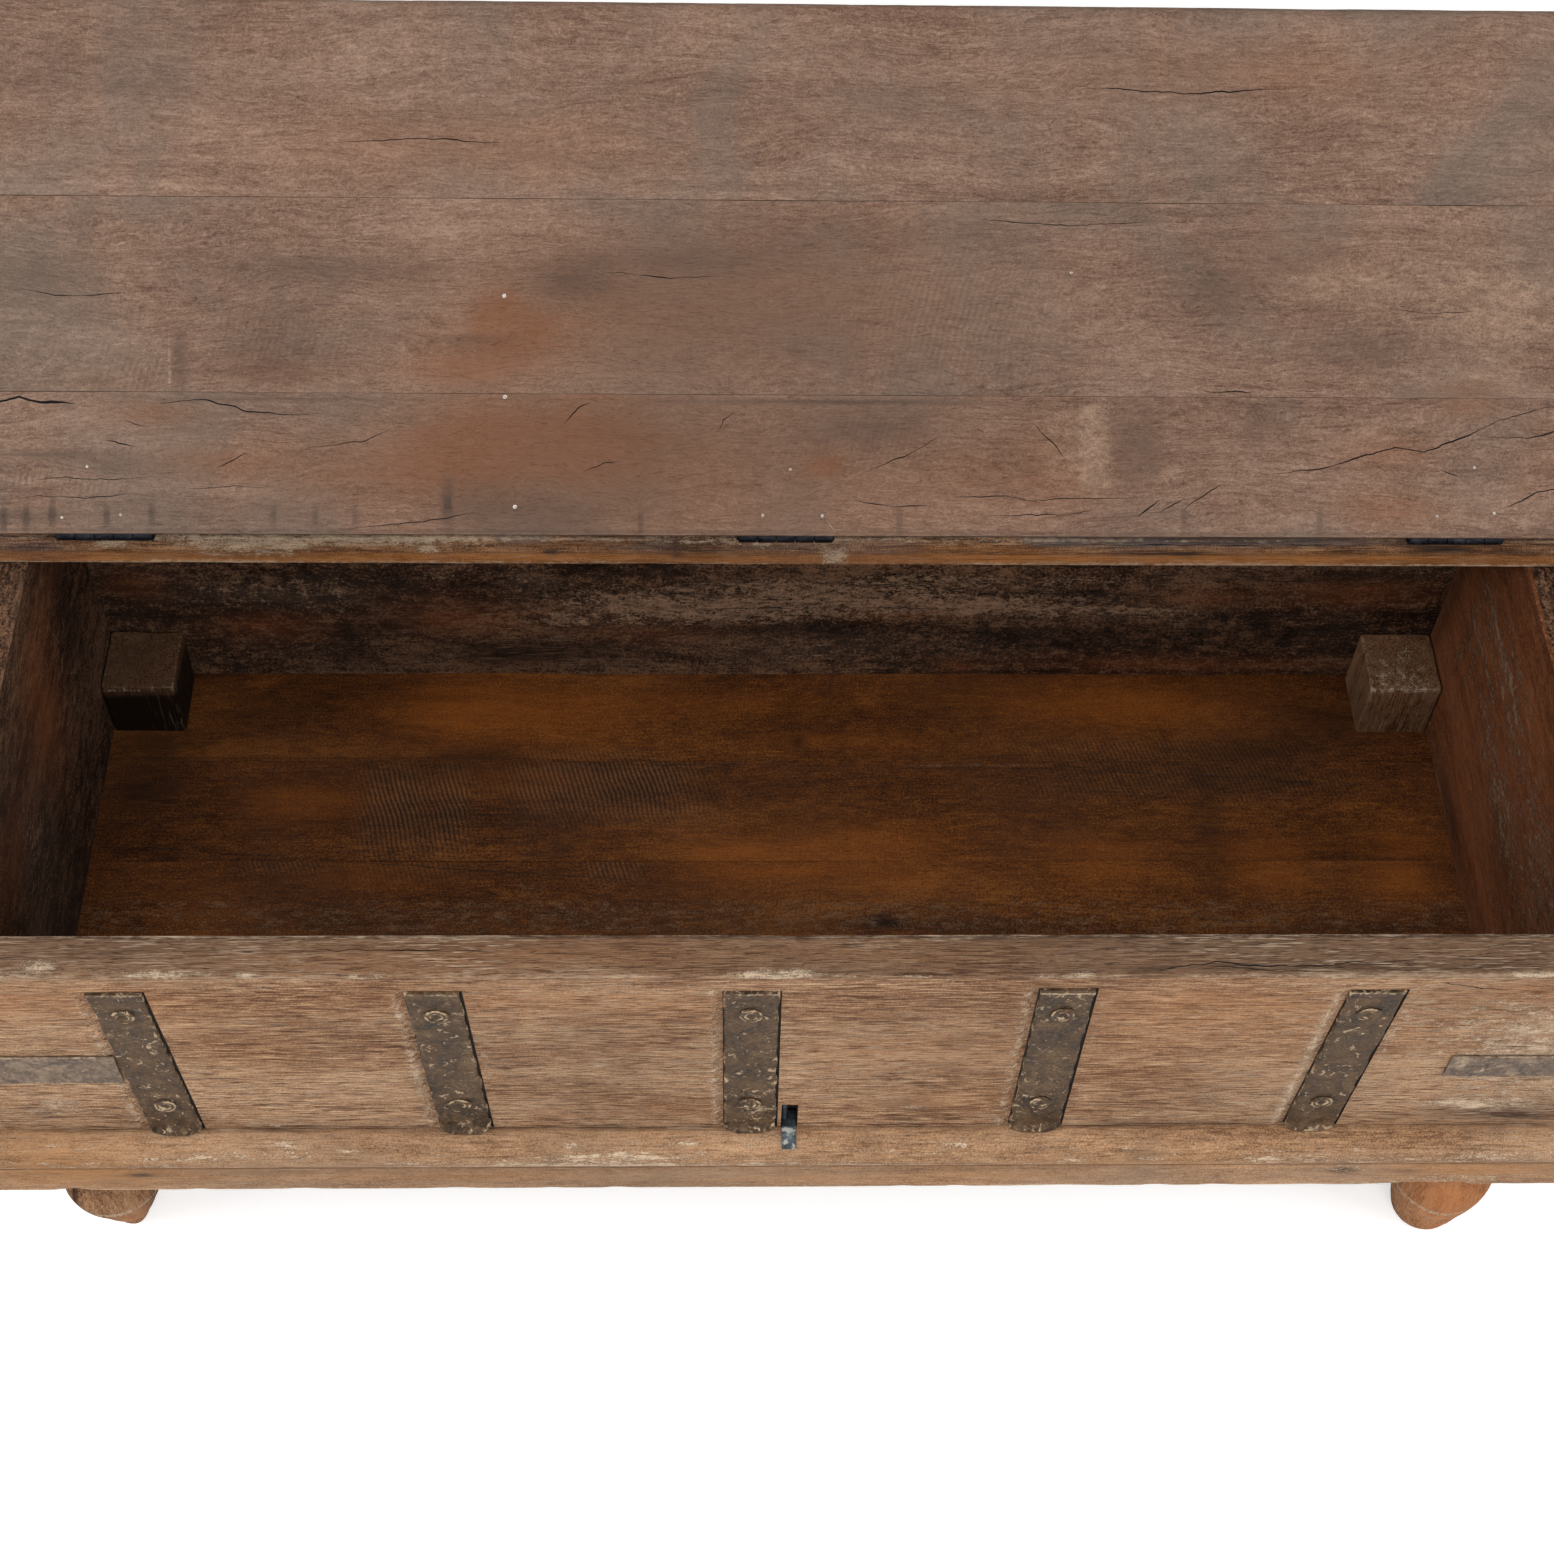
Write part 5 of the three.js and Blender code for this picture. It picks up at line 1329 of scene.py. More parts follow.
# %% Turn a profile
def turned(profile, sides, axis="Z"):
    """Rings of points about an axis, from a list of radius and height. A radius of 0 closes the end."""
    profile = np.asarray(profile, float)
    angles = np.linspace(0, 2 * math.pi, sides, endpoint=False)
    rings = []
    for radius, height in profile:
        ring = np.stack((radius * np.cos(angles), radius * np.sin(angles), np.full(sides, height)), axis=1)
        rings.append(ring[:, {"Z": (0, 1, 2), "X": (2, 0, 1)}[axis]])
    return rings


# The turning as shares of its radius and of its height, from the sole up, and two toes that differ from it.
FOOT_SHARES = [(0.46, 0), (0.6, 0.05), (0.67, 0.13), (0.69, 0.22), (0.76, 0.3), (0.88, 0.39), (0.98, 0.49),
               (0.99, 0.57), (0.9, 0.69), (0.76, 0.79), (0.73, 0.87), (0.85, 0.91), (0.92, 0.95), (0.84, 1)]
SMALL_TOE = [(0.25, 0), (0.33, 0.05), (0.43, 0.13), (0.58, 0.22), (0.69, 0.3), (0.82, 0.39), (0.95, 0.49)]
PLUMP_TOE = [(0.46, 0), (0.6, 0.05), (0.70, 0.13), (0.77, 0.22), (0.84, 0.3), (0.92, 0.39)]
timber, foot_inset = 85 * mm, 7 * mm
BLOCK_LEVELS, HEAD_LEVELS = (139, 154.7), (150, 230)  # lower and upper ends, in millimetres
HEAD_INSET = 30.3  # a wall and the air behind it
TURNING, FOOT_RADIUS = 139.7, 37  # the turned part's height and greatest radius, in millimetres


def foot_profile(ring_height, toe):
    """The radius at each height of the turning, with a finely scored double ring."""
    shares = np.array(toe + FOOT_SHARES[len(toe):])
    near_ring = (ring_height + np.arange(-3.6, 3.7, 0.6)) / TURNING
    heights = np.unique(np.concatenate((np.linspace(0, 1, 60), near_ring)))
    slopes = np.gradient(shares[:, 0], shares[:, 1])
    place = np.clip(np.searchsorted(shares[:, 1], heights) - 1, 0, len(shares) - 2)
    width = shares[place + 1, 1] - shares[place, 1]
    t = (heights - shares[place, 1]) / width
    radius = ((2 * t**3 - 3 * t**2 + 1) * shares[place, 0] + (t**3 - 2 * t**2 + t) * width * slopes[place]
              + (3 * t**2 - 2 * t**3) * shares[place + 1, 0] + (t**3 - t**2) * width * slopes[place + 1])
    radius = np.minimum(radius, 0.995) * FOOT_RADIUS
    level = heights * TURNING
    for offset in (-1.5, 1.5):
        radius -= bell(level, ring_height + offset, 0.55)
    return np.stack((radius, level), axis=1) * mm


print("the profile of a foot has", len(foot_profile(68, [])), "radii")

# %% Four legs
def leg(corner, sides, ring_height, seed, dabs, toe=(), aside=0.0, head_darkening=1.0):
    """One leg. `sides` tells its corner, and `aside` how far its foot was turned off the middle."""
    sides = np.array(sides)
    outer = np.where(sides > 0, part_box(f"leg_{corner}")[1][:2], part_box(f"leg_{corner}")[0][:2])
    low, high = np.minimum(outer, outer - sides * timber), np.maximum(outer, outer - sides * timber)
    middle = (low + high) / 2 - np.array((sides[0] * foot_inset - aside * mm, 0))
    profile = foot_profile(ring_height, list(toe))
    rings = turned(np.concatenate(([(profile[0, 0] * 0.3, 0)], profile)), 72)
    foot, foot_faces = ringed(rings)
    press = (rumple(foot, np.array((14, 14, 30)) * mm, seed) + 1) * 0.35
    press += np.clip(rumple(foot, 8 * mm, seed + 1) - 0.4, 0, 1) * 1.2
    reach = np.maximum(np.linalg.norm(foot[:, :2], axis=1), 1e-6)
    foot[:, :2] = foot[:, :2] * np.clip(1 - press * mm / reach, 0.2, 1)[:, None] + middle
    block_low, block_high = np.append(low, BLOCK_LEVELS[0] * mm), np.append(high, BLOCK_LEVELS[1] * mm)
    block = box_surface([grid_lines(block_low[k], block_high[k], 6 * mm) for k in range(3)])
    block_points = soften(block[0], block_low, block_high, 1.2 * mm, 2.0 * mm, seed + 2)
    inner = outer - sides * HEAD_INSET * mm
    head_low = np.append(np.where(sides > 0, low, inner), HEAD_LEVELS[0] * mm)
    head_high = np.append(np.where(sides > 0, inner, high), HEAD_LEVELS[1] * mm)
    head = box_surface([grid_lines(head_low[k], head_high[k], 4 * mm) for k in range(3)])
    head_points = soften(uneven(head[0], head_low, head_high, 0.6 * mm, seed + 3), head_low, head_high,
                         2.4 * mm, 2.2 * mm, seed + 4)
    points, faces = joined([(foot, foot_faces), (block_points, block[1]), (head_points, head[1])])
    name = f"{corner}_turned_leg"
    piece = add_object(name, mesh_of(name, points, faces))
    up = points[:, 2] / mm
    masks = blank_masks(points)
    angle = np.degrees(np.arctan2(points[:, 1] - middle[1], points[:, 0] - middle[0]))
    for mask, around, level, span, height, amount in dabs:
        masks[:, MASKS[mask]] += amount * spot(angle, up, (around, level), (span, height))
    masks[:, DUST] += 1.6 * bell(np.abs(up - ring_height), 1.5, 0.8)
    # Every head takes the second look, which makes it darker than the foot.
    masks[:, SECOND] += (up > HEAD_LEVELS[0]) * head_darkening
    head_arris = np.sort(np.minimum(points - head_low, head_high - points), axis=1)[:, 1]
    wear = np.where(up > 160, 1 - np.clip(head_arris / (6 * mm), 0, 1), 0.5 * bell(up, 141, 2))
    wear *= np.where((up > 160) & (up < 222), 0.2, 1)
    write_masks(piece.data, grain_of(points[:, (2, 0, 1)], seed), masks, wear)
    print(name, len(piece.data.polygons), "faces")
    return dress(piece, "chest", "leg_wood", (f"leg_{corner}",), sharp=30)


leg("front_left", (-1, -1), 72, 41, marks(
    warm=[(-60, 40, 50, 20, 0.5)],
    dark=[(-128, 88, 3.5, 26, 1.4), (-122, 62, 3.5, 10, 1.2), (-150, 30, 30, 12, 0.4),
          (-20, 60, 30, 40, 0.5), (-90, 100, 60, 30, 0.2), (-90, 195, 40, 60, 1.0),
          (-90, 230, 180, 30, 0.5)],
    dust=[(-85, 84, 30, 12, 0.25)]), SMALL_TOE, 6.5)
leg("front_right", (1, -1), 63, 43, marks(
    warm=[(-90, 90, 90, 60, 0.7), (-60, 20, 60, 14, 0.5)],
    dark=[(-110, 118, 30, 5, 0.5)],
    dust=[(-100, 50, 30, 5, 0.4)]), PLUMP_TOE, 1.5)
leg("rear_left", (-1, 1), 68, 45, marks(
    warm=[(90, 80, 90, 40, 0.4)],
    dark=[(130, 60, 6, 20, 0.5), (-60, 190, 140, 30, 2.5)],
    dust=[(-90, 226, 50, 2.5, 0.5)]))
leg("rear_right", (1, 1), 68, 47, marks(
    warm=[(60, 80, 90, 40, 0.4)],
    dark=[(40, 90, 6, 18, 0.5), (-120, 190, 100, 30, 0.4), (-90, 231, 120, 6, 0.3)],
    dust=[(-110, 228, 60, 3, 0.5)]), (), 0, 0.6)

# %% [markdown]
# ## Strips of iron
# Straps, bands, hinge leaves and the latch tongue are all strips: a path for the middle, a direction out
# of the face, and a half width that may change on the way. The hammer leaves shallow facets on the face
# and an edge that wanders. One function makes them all.

# %% The strip function
def strip(path, outward, across, halves, thickness, ease=0.8, hammered=0.4, ragged=0.0, size=11.0, seed=1,
          columns=13):
    """A strip of iron along `path` (its back face), as points and faces. All lengths are in metres,
    apart from ease, hammered, ragged and size, which are millimetres."""
    path, outward = np.asarray(path, float), np.asarray(outward, float)
    across = np.asarray(across, float)
    halves = np.broadcast_to(halves, (len(path),))
    middle = np.linspace(-1, 1, columns)
    rings = []
    for centre, out, half in zip(path, outward, halves):
        near = np.array((0, 0.3, 0.9)) * ease * mm / half
        shares = np.concatenate((-1 + near, middle[1:-1] * (1 - ease * mm / half), 1 - near[::-1]))
        place = shares * half
        over = np.clip(np.abs(place) - (half - ease * mm), 0, ease * mm)
        drop = ease * mm - np.sqrt(np.maximum((ease * mm) ** 2 - over ** 2, 0))
        face = centre + place[:, None] * across + ((thickness - drop)[:, None]) * out
        back = centre + (place[::-1, None] * across) * 0.995
        rings.append(np.concatenate((face, back)))
    count = len(rings[0])
    points, faces = ringed(rings)
    station = np.repeat(np.arange(len(path)), count)
    is_face = np.tile(np.arange(count) < count // 2, len(path))
    lumps = (rumple(points, size * mm, seed) + 1) / 2
    lumps += 0.35 * (rumple(points, size * 0.4 * mm, seed + 1) + 1) / 2
    points = points - outward[station] * (lumps * hammered * mm * is_face * 0.75)[:, None]
    side = (points - path[station]) @ across
    for end in (-1, 1):
        slow, fast = (np.column_stack((station, station * 0, station * 0 + row)) for row in (3, 5))
        wander = (rumple(slow, 6.0, seed + 2 + end) + 1) / 2
        wander += 0.5 * (rumple(fast, 2.2, seed + 6 + end) + 1) / 2
        inward = np.clip(end * side / halves[station], 0, 1) ** 3 * wander * ragged * mm
        points = points - end * across * inward[:, None]
    share = np.abs(side) / halves[station]
    wear = np.where(is_face, np.clip((share - 0.93) / 0.07, 0, 1), 0.4)
    return points, faces, wear


def iron_piece(name, parts, finish, nodes, body="chest", place=Matrix(), masks=None, seed=1, sharp=35):
    """One piece from several strips, rings and knobs. Each part is points, faces and, if known, its wear."""
    points, faces = joined([(part[0], part[1]) for part in parts])
    wear = np.concatenate([part[2] if len(part) > 2 else np.zeros(len(part[0])) for part in parts])
    mesh = mesh_of(name, points, faces)
    write_masks(mesh, grain_of(points, seed), masks(points) if masks else blank_masks(points), wear)
    mesh.transform(place)
    print(name, len(mesh.polygons), "faces")
    return dress(add_object(name, mesh), body, finish, nodes, sharp=sharp)


sample = strip([(0, 0, 0), (0, 0, 0.1)], [(0, -1, 0)] * 2, (1, 0, 0), 18 * mm, 3 * mm)
print("a short strip has", len(sample[0]), "points and", len(sample[1]), "faces")

# %% [markdown]
# ## Straps, with tails and rivets
# Each strap was heated at its foot and bent out over the moulding. The rivets are the surprise: big flat
# heads with a ring-shaped dent, where dust has settled, so that each looks like a pale eye.

# %% Five straps
strap_half = (strap_boxes[1][1].x - strap_boxes[1][0].x) / 2
strap_back = strap_boxes[1][1].y
tail_start, tail_turn, tail_radius = 233.5 * mm, math.radians(75), 9 * mm


def strap_path():
    """The back of a strap: straight down, then bent out. Each place has the direction out of the face."""
    stops = [((0, strap_back, z), (0, -1, 0)) for z in np.linspace(strap_boxes[1][1].z, tail_start, 90)]
    for angle in np.linspace(0, tail_turn, 24)[1:]:
        centre = (0, strap_back - tail_radius + tail_radius * math.cos(angle),
                  tail_start - tail_radius * math.sin(angle))
        stops.append((centre, (0, -math.cos(angle), math.sin(angle))))
    return [np.array(values) for values in zip(*stops)]


path, outward = strap_path()
lengths = np.concatenate(([0], np.cumsum(np.linalg.norm(np.diff(path, axis=0), axis=1))))
from_end = lengths[-1] - lengths
strap_halves = strap_half * (1 - 0.5 * np.clip(1 - from_end / (5.5 * mm), 0, 1) ** 2.2)
rivet_levels = {"upper": 379.3 * mm, "lower": 261.3 * mm}


def strap_masks(number):
    """Dust in the hammered hollows and the housing, and a dark ring under each rivet."""
    def masks(points):
        values = blank_masks(points)
        for level in rivet_levels.values():
            centre_x = strap_middle(number) + lean(number, level)
            far = np.hypot(points[:, 0] - centre_x, points[:, 2] - level) / mm
            values[:, DARK] += 0.7 * bell(far, 9.5, 1.4)
            values[:, DUST] += 0.2 * bell(far, 13, 4)
        aside = points[:, 0] - strap_middle(number) - lean(number, points[:, 2])
        patch = np.clip(rumple(points, 16 * mm, 50 + number) + 0.1, 0, 1)
        values[:, DUST] += 1.3 * patch * np.clip(rumple(points, 4.5 * mm, 57 + number) - 0.25, 0, 1)
        crumbs = np.clip(rumple(points, 6 * mm, 77 + number), 0, 1)
        values[:, DUST] += 0.8 * bell(np.abs(aside) / mm, 17, 2.2) * crumbs
        values[:, DUST] += 0.3 * bell(points[:, 2] / mm, 227, 5)
        values[:, DUST] += 0.9 * bell(points[:, 2], strap_boxes[number][1].z - 1.2 * mm, 1.2 * mm)
        if number == 3:
            far = np.hypot((aside / mm - 6) / 13, (points[:, 2] / mm - 248) / 15)
            values[:, DUST] += 0.6 * bell(far, 0, 1, 4) * (patch + 0.4)
        return values
    return masks


def strap_middle(number):
    low, high = strap_boxes[number]
    return (low.x + high.x) / 2


for number in strap_boxes:
    leaning = path.copy()
    leaning[:, 0] += strap_middle(number) + lean(number, path[:, 2])
    leaning[:, 2] += np.clip((path[:, 2] / mm - 300) / 100, 0, 1) * STRAP_RISE.get(number, 0) * mm
    part = strip(leaning, outward, (1, 0, 0), strap_halves, 3 * mm, ease=0.9, hammered=0.7, ragged=2.2,
                 seed=50 + number, columns=21)
    iron_piece(f"forged_strap_{number}", [part], "strap_iron", (f"front_strap_{number}",),
               masks=strap_masks(number), seed=50 + number)

# %% Ten rivets, each a little different
def rivet_head(radius, height, seed, sides=40):
    """A low head with a ring-shaped dent, facing +Z, its underside at 0."""
    shares = [(0.0, 0.0), (0.9, 0.0), (1.0, 0.12), (0.985, 0.35), (0.92, 0.6), (0.84, 0.74), (0.74, 0.86),
              (0.64, 0.86), (0.56, 0.78), (0.48, 0.6), (0.42, 0.42), (0.34, 0.28), (0.26, 0.28), (0.18, 0.45),
              (0.09, 0.55), (0.0, 0.55)]
    rings = turned([(max(r, 0.004) * radius, z * height) for r, z in shares], sides)
    points, faces = ringed(rings)
    angle = np.arctan2(points[:, 1], points[:, 0])
    wobble = 1 - 0.07 * (1 + np.sin(2 * angle + seed)) - 0.03 * (1 + np.sin(5 * angle + 2 * seed))
    points[:, :2] *= wobble[:, None]
    points[:, 2] *= 1 - 0.3 * (rumple(points, 3 * mm, seed) + 1) / 2
    return points, faces


def facing(points, centre, direction):
    """Turns points that face +Z to face a direction, and moves them to a centre."""
    turn = Vector((0, 0, 1)).rotation_difference(Vector(direction)).to_matrix()
    return points @ np.array(turn).T + np.array(centre)


def rivet_masks(points, seed):
    """Dust in a broken ring on the head, and less of it on the rim. The eye in the middle stays dark."""
    far = np.hypot(points[:, 0], points[:, 1]) / mm
    patchy = np.clip(0.75 + 1.1 * rumple(points, 4 * mm, seed), 0, 1)
    values = blank_masks(points)
    values[:, DUST] = patchy * (0.85 * bell(far, 3.6, 0.9) + 0.8 * bell(far, 6.6, 1.2))
    values[:, DARK] = bell(far, 0, 2.1, 4) + 0.3 * bell(far, 5.0, 0.5)
    return values


for number, (low, high) in strap_boxes.items():
    for level_name, level in rivet_levels.items():
        seed = number * 2 + (level_name == "upper")
        points, faces = rivet_head(8.5 * mm, 1.3 * mm, seed)
        head_masks = rivet_masks(points, seed)
        centre = (strap_middle(number) + lean(number, level), strap_back - 3.1 * mm, level)
        iron_piece(f"strap_rivet_head_{number}_{level_name}", [(facing(points, centre, (0, -1, 0)), faces)],
                   "strap_iron", (f"strap_rivet_{number}_{level_name}",), masks=lambda _: head_masks,
                   seed=60 + seed)

# %% [markdown]
# ## Bands round the corners, and the latch
# A thin band is bent round each front corner and lies flat on the wood. The latch tongue lies in its slot
# and is hammered down over the half round. Beside it stands the stub of an older, rounded iron.

# %% Corner bands, latch tongue and stub
front_back = front_low.y - 0.3 * mm
for side, name in ((-1, "left"), (1, "right")):
    low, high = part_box(f"corner_band_{name}")
    far_x = max(abs(low.x), abs(high.x)) - 1.6 * mm
    near_x = min(abs(low.x), abs(high.x))
    middle_z = (low.z + high.z) / 2
    stations = [((side * x, front_back, middle_z), (0, -1, 0))
                for x in np.linspace(near_x, far_x - 0.5 * mm, 30)]
    for angle in np.linspace(0, math.pi / 2, 6):
        stations.append(((side * far_x, front_back, middle_z), (side * math.sin(angle), -math.cos(angle), 0)))
    stations += [((side * far_x, y, middle_z), (side, 0, 0))
                 for y in np.linspace(front_back + 1 * mm, high.y, 30)]
    part = strip(*zip(*stations), (0, 0, 1), (high.z - low.z) / 2, 1.6 * mm, ease=0.6, hammered=0.35,
                 ragged=0.8, size=16, seed=70 + side)
    nail_points, nail_faces = rivet_head(3.4 * mm, 0.9 * mm, 5, 24)

    def band_masks(points, side=side, low=low):
        values = blank_masks(points)
        values[:, DUST] += 0.75 * bell(points[:, 2], low.z, 2.2 * mm)
        if side > 0:
            for x, z, reach in ((430, 318, 6), (434, 310, 5), (447, 305, 8), (462, 310, 5), (436, 320, 4),
                                (452, 318, 4), (480, 313, 7), (500, 316, 9)):
                values[:, DUST] += 0.5 * spot(points[:, 0] / mm, points[:, 2] / mm, (x, z), (reach, reach))
        return values

    nail_centre = (side * (near_x + 24 * mm), front_back - 1.2 * mm, middle_z)
    head = (facing(nail_points, nail_centre, (0, -1, 0)), nail_faces)
    iron_piece(f"{name}_corner_band", [part, head], "band_iron", (f"corner_band_{name}",), masks=band_masks,
               seed=70 + side)

tongue_x = (tongue_low.x + tongue_high.x) / 2
stations = [((tongue_x, y, 225.3 * mm), (0, 0, 1)) for y in np.linspace(front_low.y + 11 * mm, front_back, 8)]
for degrees in np.linspace(0, 46, 16)[1:]:
    out = (0, -math.sin(math.radians(degrees)), math.cos(math.radians(degrees)))
    bend = (ROUND_RADIUS + 0.3) * mm
    stations.append(((tongue_x, front_back + bend * out[1], ROUND_CENTRE * mm + bend * out[2]), out))


def tongue_masks(points):
    """Painted shade on the part inside the slot, dust at its mouth, and three pale spots on the bend as
    painted highlights.
    """
    values = blank_masks(points)
    # Painted shade: the tongue is made dark where it lies in the slot.
    values[:, DARK] += points[:, 1] > front_back - 1 * mm
    values[:, DUST] += 0.8 * bell(points[:, 1], front_back - 3 * mm, 1.6 * mm)
    # Three pale spots on the bend, which are painted highlights.
    for x, y, reach in ((0, -291, 2.2), (5.5, -293, 2.4), (2, -285, 1.6)):
        values[:, DUST] += 0.8 * spot(points[:, 0] / mm, points[:, 1] / mm, (x, y), (reach, reach))
    return values


part = strip(*zip(*stations), (1, 0, 0), (tongue_high.x - tongue_low.x) / 2, 2 * mm, ease=0.5, hammered=0.5,
             ragged=0.5, size=5, seed=81)
iron_piece("hammered_latch_tongue", [part], "tongue_iron", ("latch_tongue",), masks=tongue_masks, seed=81)
stub = [(0.0, 0.0), (2.0, 0.0), (2.3, 2.0), (2.2, 8.0), (2.3, 16.0), (2.1, 19.0), (1.4, 20.6), (0.0, 21.2)]
stub_rings = turned([(max(radius, 0.05) * mm, height * mm) for radius, height in stub], 20)
stub_points, stub_faces = ringed(stub_rings)
stub_points[:, :2] *= 1 - 0.12 * (rumple(stub_points, 4 * mm, 83)[:, None] + 1)
stub_points += (-0.6 * mm, front_low.y + 5.5 * mm, 227.6 * mm)
iron_piece("latch_slot_stub", [(stub_points, stub_faces)], "tongue_iron", (), seed=83)

# %% [markdown]
# ## Hinges
# Each hinge is two leaves whose knuckles take turns along one pin. Only the barrels show here, nearly
# black, between the lid and the fixed board. Three nails hold each leaf. Their tips come through the
# lid, where they were clenched and catch the light.

# %% Leaves, knuckles, pins and nails
def knuckle(from_x, to_x, radius, bore, sides=32):
    """A short tube along X with worn rims."""
    rim = 0.5 * mm
    profile = [(bore, from_x), (radius - rim, from_x), (radius - 0.15 * mm, from_x + 0.15 * mm),
               (radius, from_x + rim), (radius, (from_x + to_x) / 2), (radius, to_x - rim),
               (radius - 0.15 * mm, to_x - 0.15 * mm), (radius - rim, to_x), (bore, to_x)]
    rings = turned(profile, sides, "X")
    points, faces = ringed(rings + [rings[0]], closed_ends=False)
    count = len(points) - sides
    return points[:count], [tuple(index % count for index in face) for face in faces]


def hinge_leaf_parts(first, seed):
    """A leaf that narrows to a rounded tip, and every second knuckle, each joined to the leaf by a web."""
    half, start, depth, shoulder, tip = 31.75 * mm, 4.9 * mm, 57 * mm, 14 * mm, 12 * mm
    rows = np.concatenate((np.linspace(start, shoulder, 5), np.linspace(shoulder, depth - tip, 14)[1:],
                           depth - tip + tip * np.sin(np.linspace(0, math.pi / 2, 12))[1:]))
    widths = np.interp(rows, (shoulder, depth - tip), (half, tip))
    beyond = np.clip(rows - (depth - tip), 0, tip)
    widths = np.where(beyond > 0, np.sqrt(np.maximum(tip ** 2 - beyond ** 2, (0.8 * mm) ** 2)), widths)
    path = [(0, row, -4.5 * mm) for row in rows]
    parts = [strip(path, [(0, 0, 1)] * len(path), (1, 0, 0), widths, 2 * mm, ease=0.6, hammered=0.4,
                   seed=seed)]
    pitch = 2 * half / 5
    for number in range(first, 5, 2):
        left = -half + number * pitch + 0.2 * mm
        right = left + pitch - 0.4 * mm
        parts.append(knuckle(left, right, 4.48 * mm, 2.35 * mm))
        parts.append(box_surface([np.array((left, (left + right) / 2, right)), np.array((2.6, 3.0, 6.5)) * mm,
                                  np.array((-4.45, -3.4, -2.55)) * mm]))
    return parts


def nail_heads(places, level, up=1, radius=2.6, height=0.9, seed=1):
    """Low nail heads on a level, at places in millimetres."""
    parts = []
    for number, (x, y) in enumerate(places):
        points, faces = rivet_head(radius * mm, height * mm, seed + number, 16)
        parts.append((facing(points, (x * mm, y * mm, level), (0, 0, up)), faces))
    return parts


nail_places = [(-19, 11), (19, 12), (0, 43)]
pin = [(0.1, -32.75), (2.4, -32.75), (3.3, -32.4), (3.4, -32.0), (3.1, -31.8), (2.2, -31.75)]
pin += [(radius, -along) for radius, along in pin[::-1]]
for number, (name, x) in enumerate((("left", -452), ("middle", 0), ("right", 452))):
    axis = Matrix.Translation((x * mm, hinge["pos_m"][1], hinge["pos_m"][2]))
    lid_axis = lid_place @ Matrix.Translation((x * mm, 0, 0)) @ Matrix.Rotation(math.pi, 4, "Z")
    heads = nail_heads(nail_places, -2.6 * mm, seed=90 + number)
    iron_piece(f"{name}_fixed_hinge_leaf", hinge_leaf_parts(0, 91 + number) + heads, "hinge_iron",
               (f"hinge_leaf_fixed_{name}",), place=axis, seed=91 + number)
    iron_piece(f"{name}_lid_hinge_leaf", hinge_leaf_parts(1, 95 + number) + heads, "hinge_iron",
               (f"hinge_leaf_lid_{name}",), "lid", lid_axis, seed=95 + number)
    pin_part = ringed(turned([(radius * mm, along * mm) for radius, along in pin], 28, "X"))
    iron_piece(f"{name}_hinge_pin", [pin_part], "hinge_iron", (f"hinge_pin_{name}",), place=axis,
               seed=99 + number)

# %% Straps across the lid, and the nails that show on its underside
corner = 3.5 * mm  # the radius of a strap's corners
lid_nails = {"left": (18, 89, 154, 240, 318), "right": (30, 100, 171, 240, 318)}
for number, (name, nail_depths) in enumerate(lid_nails.items()):
    low, high = box_in(lid_place, f"lid_strap_{name}")
    x = (low[0] + high[0]) / 2
    rows = np.concatenate((low[1] + corner * (1 - np.cos(np.linspace(0.05, math.pi / 2, 8))),
                           np.linspace(low[1] + corner, high[1] - corner, 50)[1:-1],
                           high[1] - corner * (1 - np.sin(np.linspace(0, math.pi / 2 - 0.05, 8)))))
    rows = np.unique(np.round(rows, 7))
    from_tip = np.minimum(rows - low[1], high[1] - rows)
    over = np.clip(corner - from_tip, 0, corner)
    widths = strap_half - (corner - np.sqrt(np.maximum(corner ** 2 - over ** 2, 0)))
    part = strip([(x, row, low[2]) for row in rows], [(0, 0, 1)] * len(rows), (1, 0, 0), widths, 2.5 * mm,
                 hammered=0.6, ragged=1.0, seed=103 + number)
    heads = nail_heads([(x / mm, -depth) for depth in nail_depths], -2.1 * mm, radius=4.2, height=1.4,
                       seed=105 + number)
    iron_piece(f"{name}_lid_strap", [part] + heads, "strap_iron", (f"lid_strap_{name}",), "lid", lid_place,
               seed=103 + number)

tip_places = [(-472, 10), (-434, 12), (-455, 43), (-16, 13), (23, 13), (2, 43), (430, 14), (468, 16),
              (454, 46), (-184, 154), (-184, 89), (-178, 18), (185, 171)]
lid_under = box_in(lid_place, "lid_plank_rear")[0][2]
tips = []
for number, (x, depth) in enumerate(tip_places):
    size = 1.6 if x in (-184, -178) else 1.1
    points, faces = rivet_head(size * mm, 0.8 * mm, 110 + number, 14)
    tips.append((facing(points, (x * mm, -depth * mm, lid_under + 0.35 * mm), (0.15, 0.1, -1)), faces))
fibre = np.array([(22.0, -12.0), (24.0, -11.3), (26.0, -9.8), (28.2, -7.0), (30.0, -4.6), (31.8, -2.4),
                  (34.4, -0.6)]) * mm
splinter = strip([(x, y, lid_under + 0.2 * mm) for x, y in fibre], [(0, 0, -1)] * len(fibre), (0.8, 0.6, 0),
                 0.45 * mm, 0.8 * mm, ease=0.3, hammered=0.1, columns=5, seed=131)
iron_piece("clenched_nail_tips", tips + [splinter], "nail_iron", (), "lid", lid_place, seed=111)

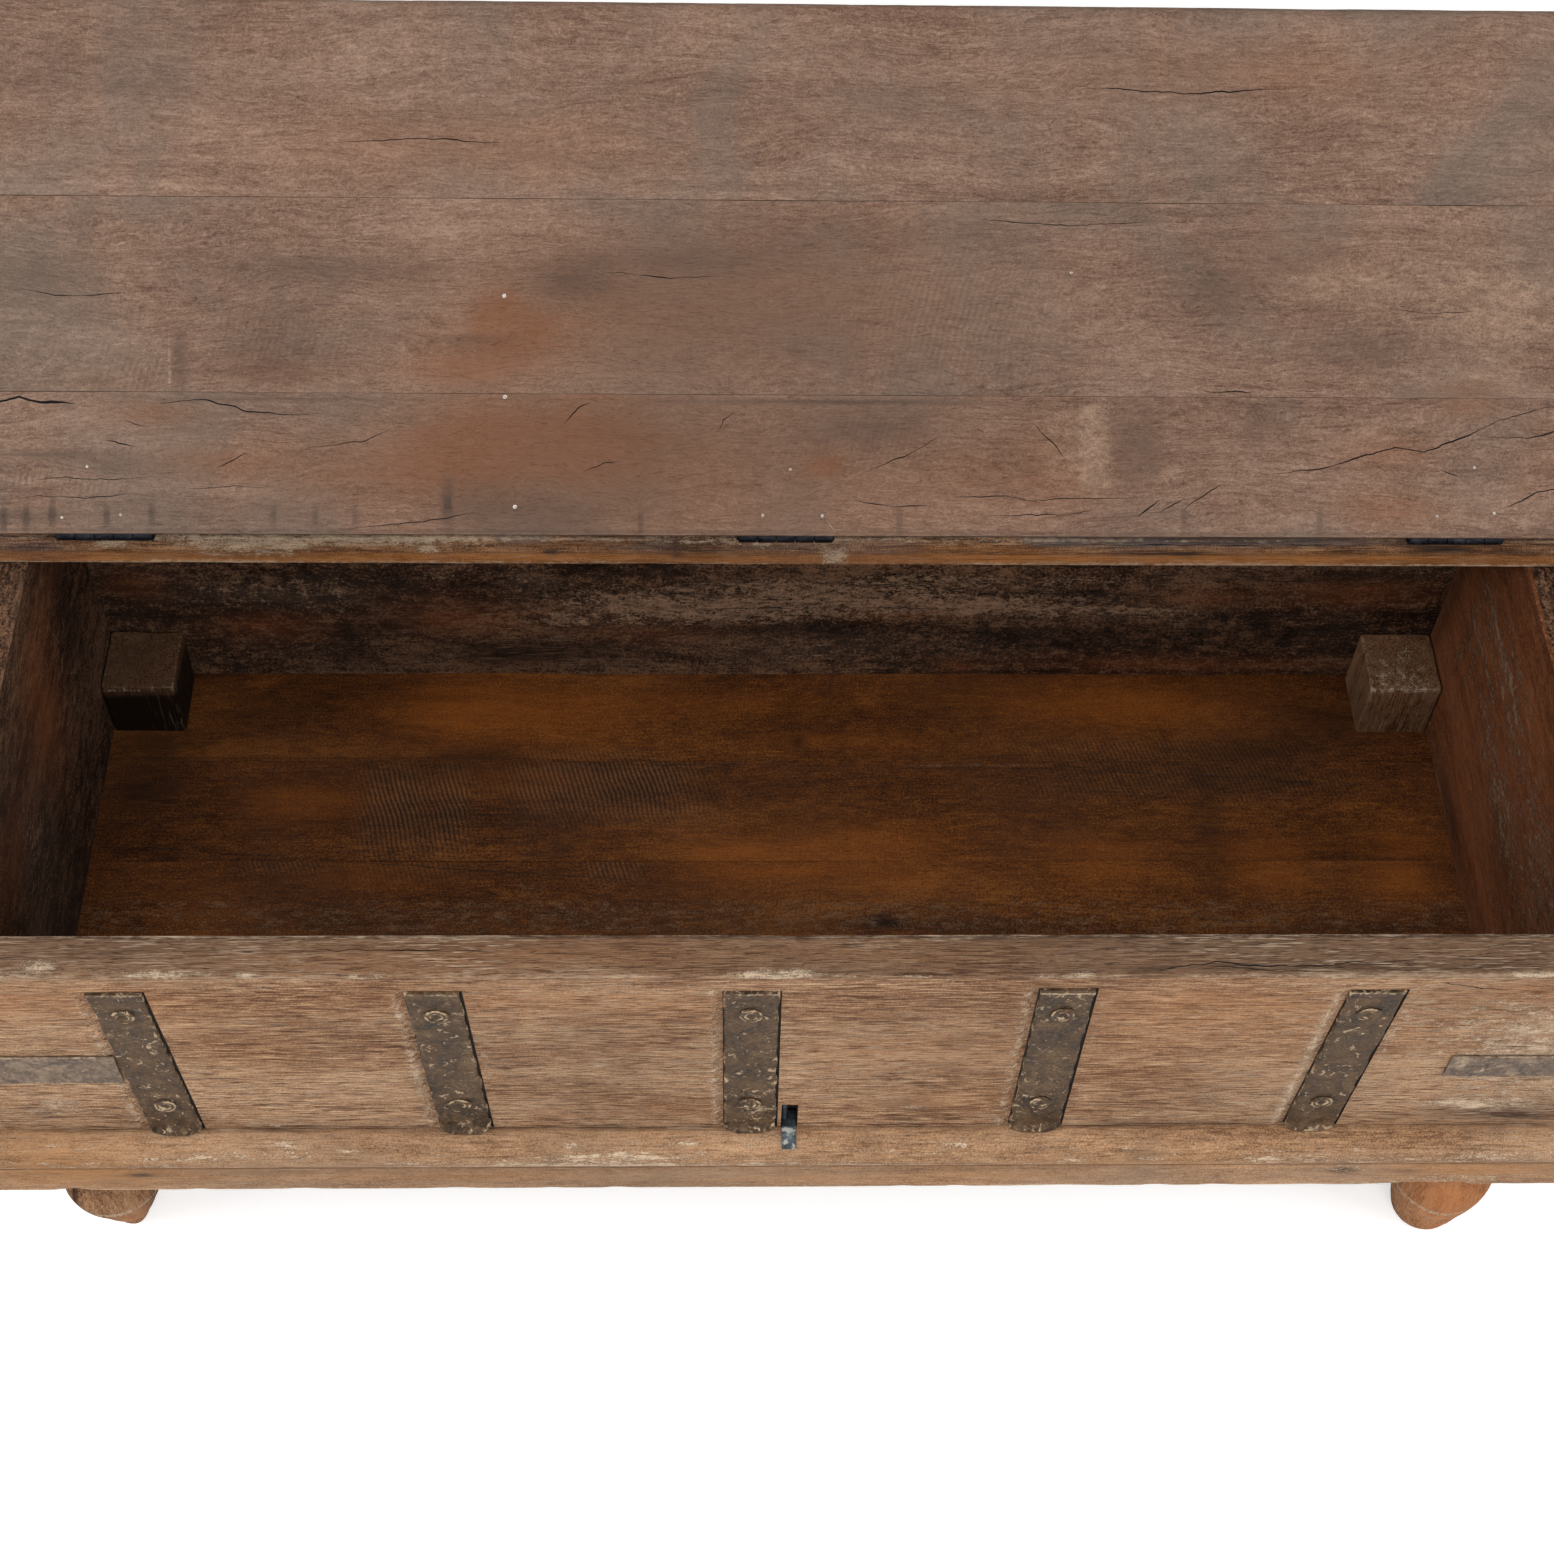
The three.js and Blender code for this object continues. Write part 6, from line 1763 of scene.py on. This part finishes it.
# %% [markdown]
# ## Floor and light
# The trunk stands on a plain pale floor in a studio. Large soft lamps above and in front give the wood
# an even light, and leave the inside darker. To the camera, and to what gloss or glass would show it, floor
# and background are nearly white, but the floor still takes the trunk's shadow.

# %% Floor, backdrop and lamps
def pale_floor():
    material, n = new_material("pale floor")
    n.surface(Base_Color=(0.82, 0.81, 0.80, 1), Roughness=0.9, Specular_IOR_Level=0.1,
              Emission_Color=(1, 1, 1, 1), Emission_Strength=n.times(n.seen(), 0.52))
    return material


edge = np.linspace(-6, 6, 5)
row = len(edge)
floor_points = [(x, y, 0) for x in edge for y in edge]
floor_faces = [(first, first + row, first + row + 1, first + 1)
               for first in range(row * (row - 1)) if first % row < row - 1]
floor_mesh = bpy.data.meshes.new("studio floor")
floor_mesh.from_pydata(floor_points, [], floor_faces)
floor_mesh.materials.append(pale_floor())
add_object("studio_floor", floor_mesh)


def add_lamp(name, location, target, size, power):
    """A rectangular lamp that looks at its target."""
    data = bpy.data.lights.new(name, "AREA")
    data.shape, data.size, data.size_y = "RECTANGLE", *size
    data.energy = power
    lamp = add_object(name, data)
    lamp.location = location
    lamp.rotation_euler = (Vector(target) - Vector(location)).to_track_quat("-Z", "Y").to_euler()


add_lamp("front lamp", (0.0, -2.6, 1.7), (0, -0.2, 0.3), (2.6, 1.6), 38)
add_lamp("top lamp", (-0.3, -0.9, 3.0), (0, 0, 0.3), (2.4, 1.8), 38)
add_lamp("right lamp", (2.6, -1.4, 1.9), (0.2, 0, 0.3), (1.6, 1.6), 30)
add_lamp("left lamp", (-2.6, -1.0, 1.9), (-0.2, 0, 0.3), (1.6, 1.6), 29)

world = bpy.data.worlds.new("studio")
bpy.context.scene.world = world
n = Nodes(world)
world.node_tree.nodes.clear()
fill = n.add("Background", {"Color": (1, 1, 1, 1), "Strength": 0.24})
backdrop = n.add("Background", {"Color": (0.96, 0.97, 0.97, 1)})
n.add("OutputWorld", {0: n.add("MixShader", {0: n.seen(), 1: fill, 2: backdrop})})
bpy.context.scene.view_settings.view_transform = "Standard"
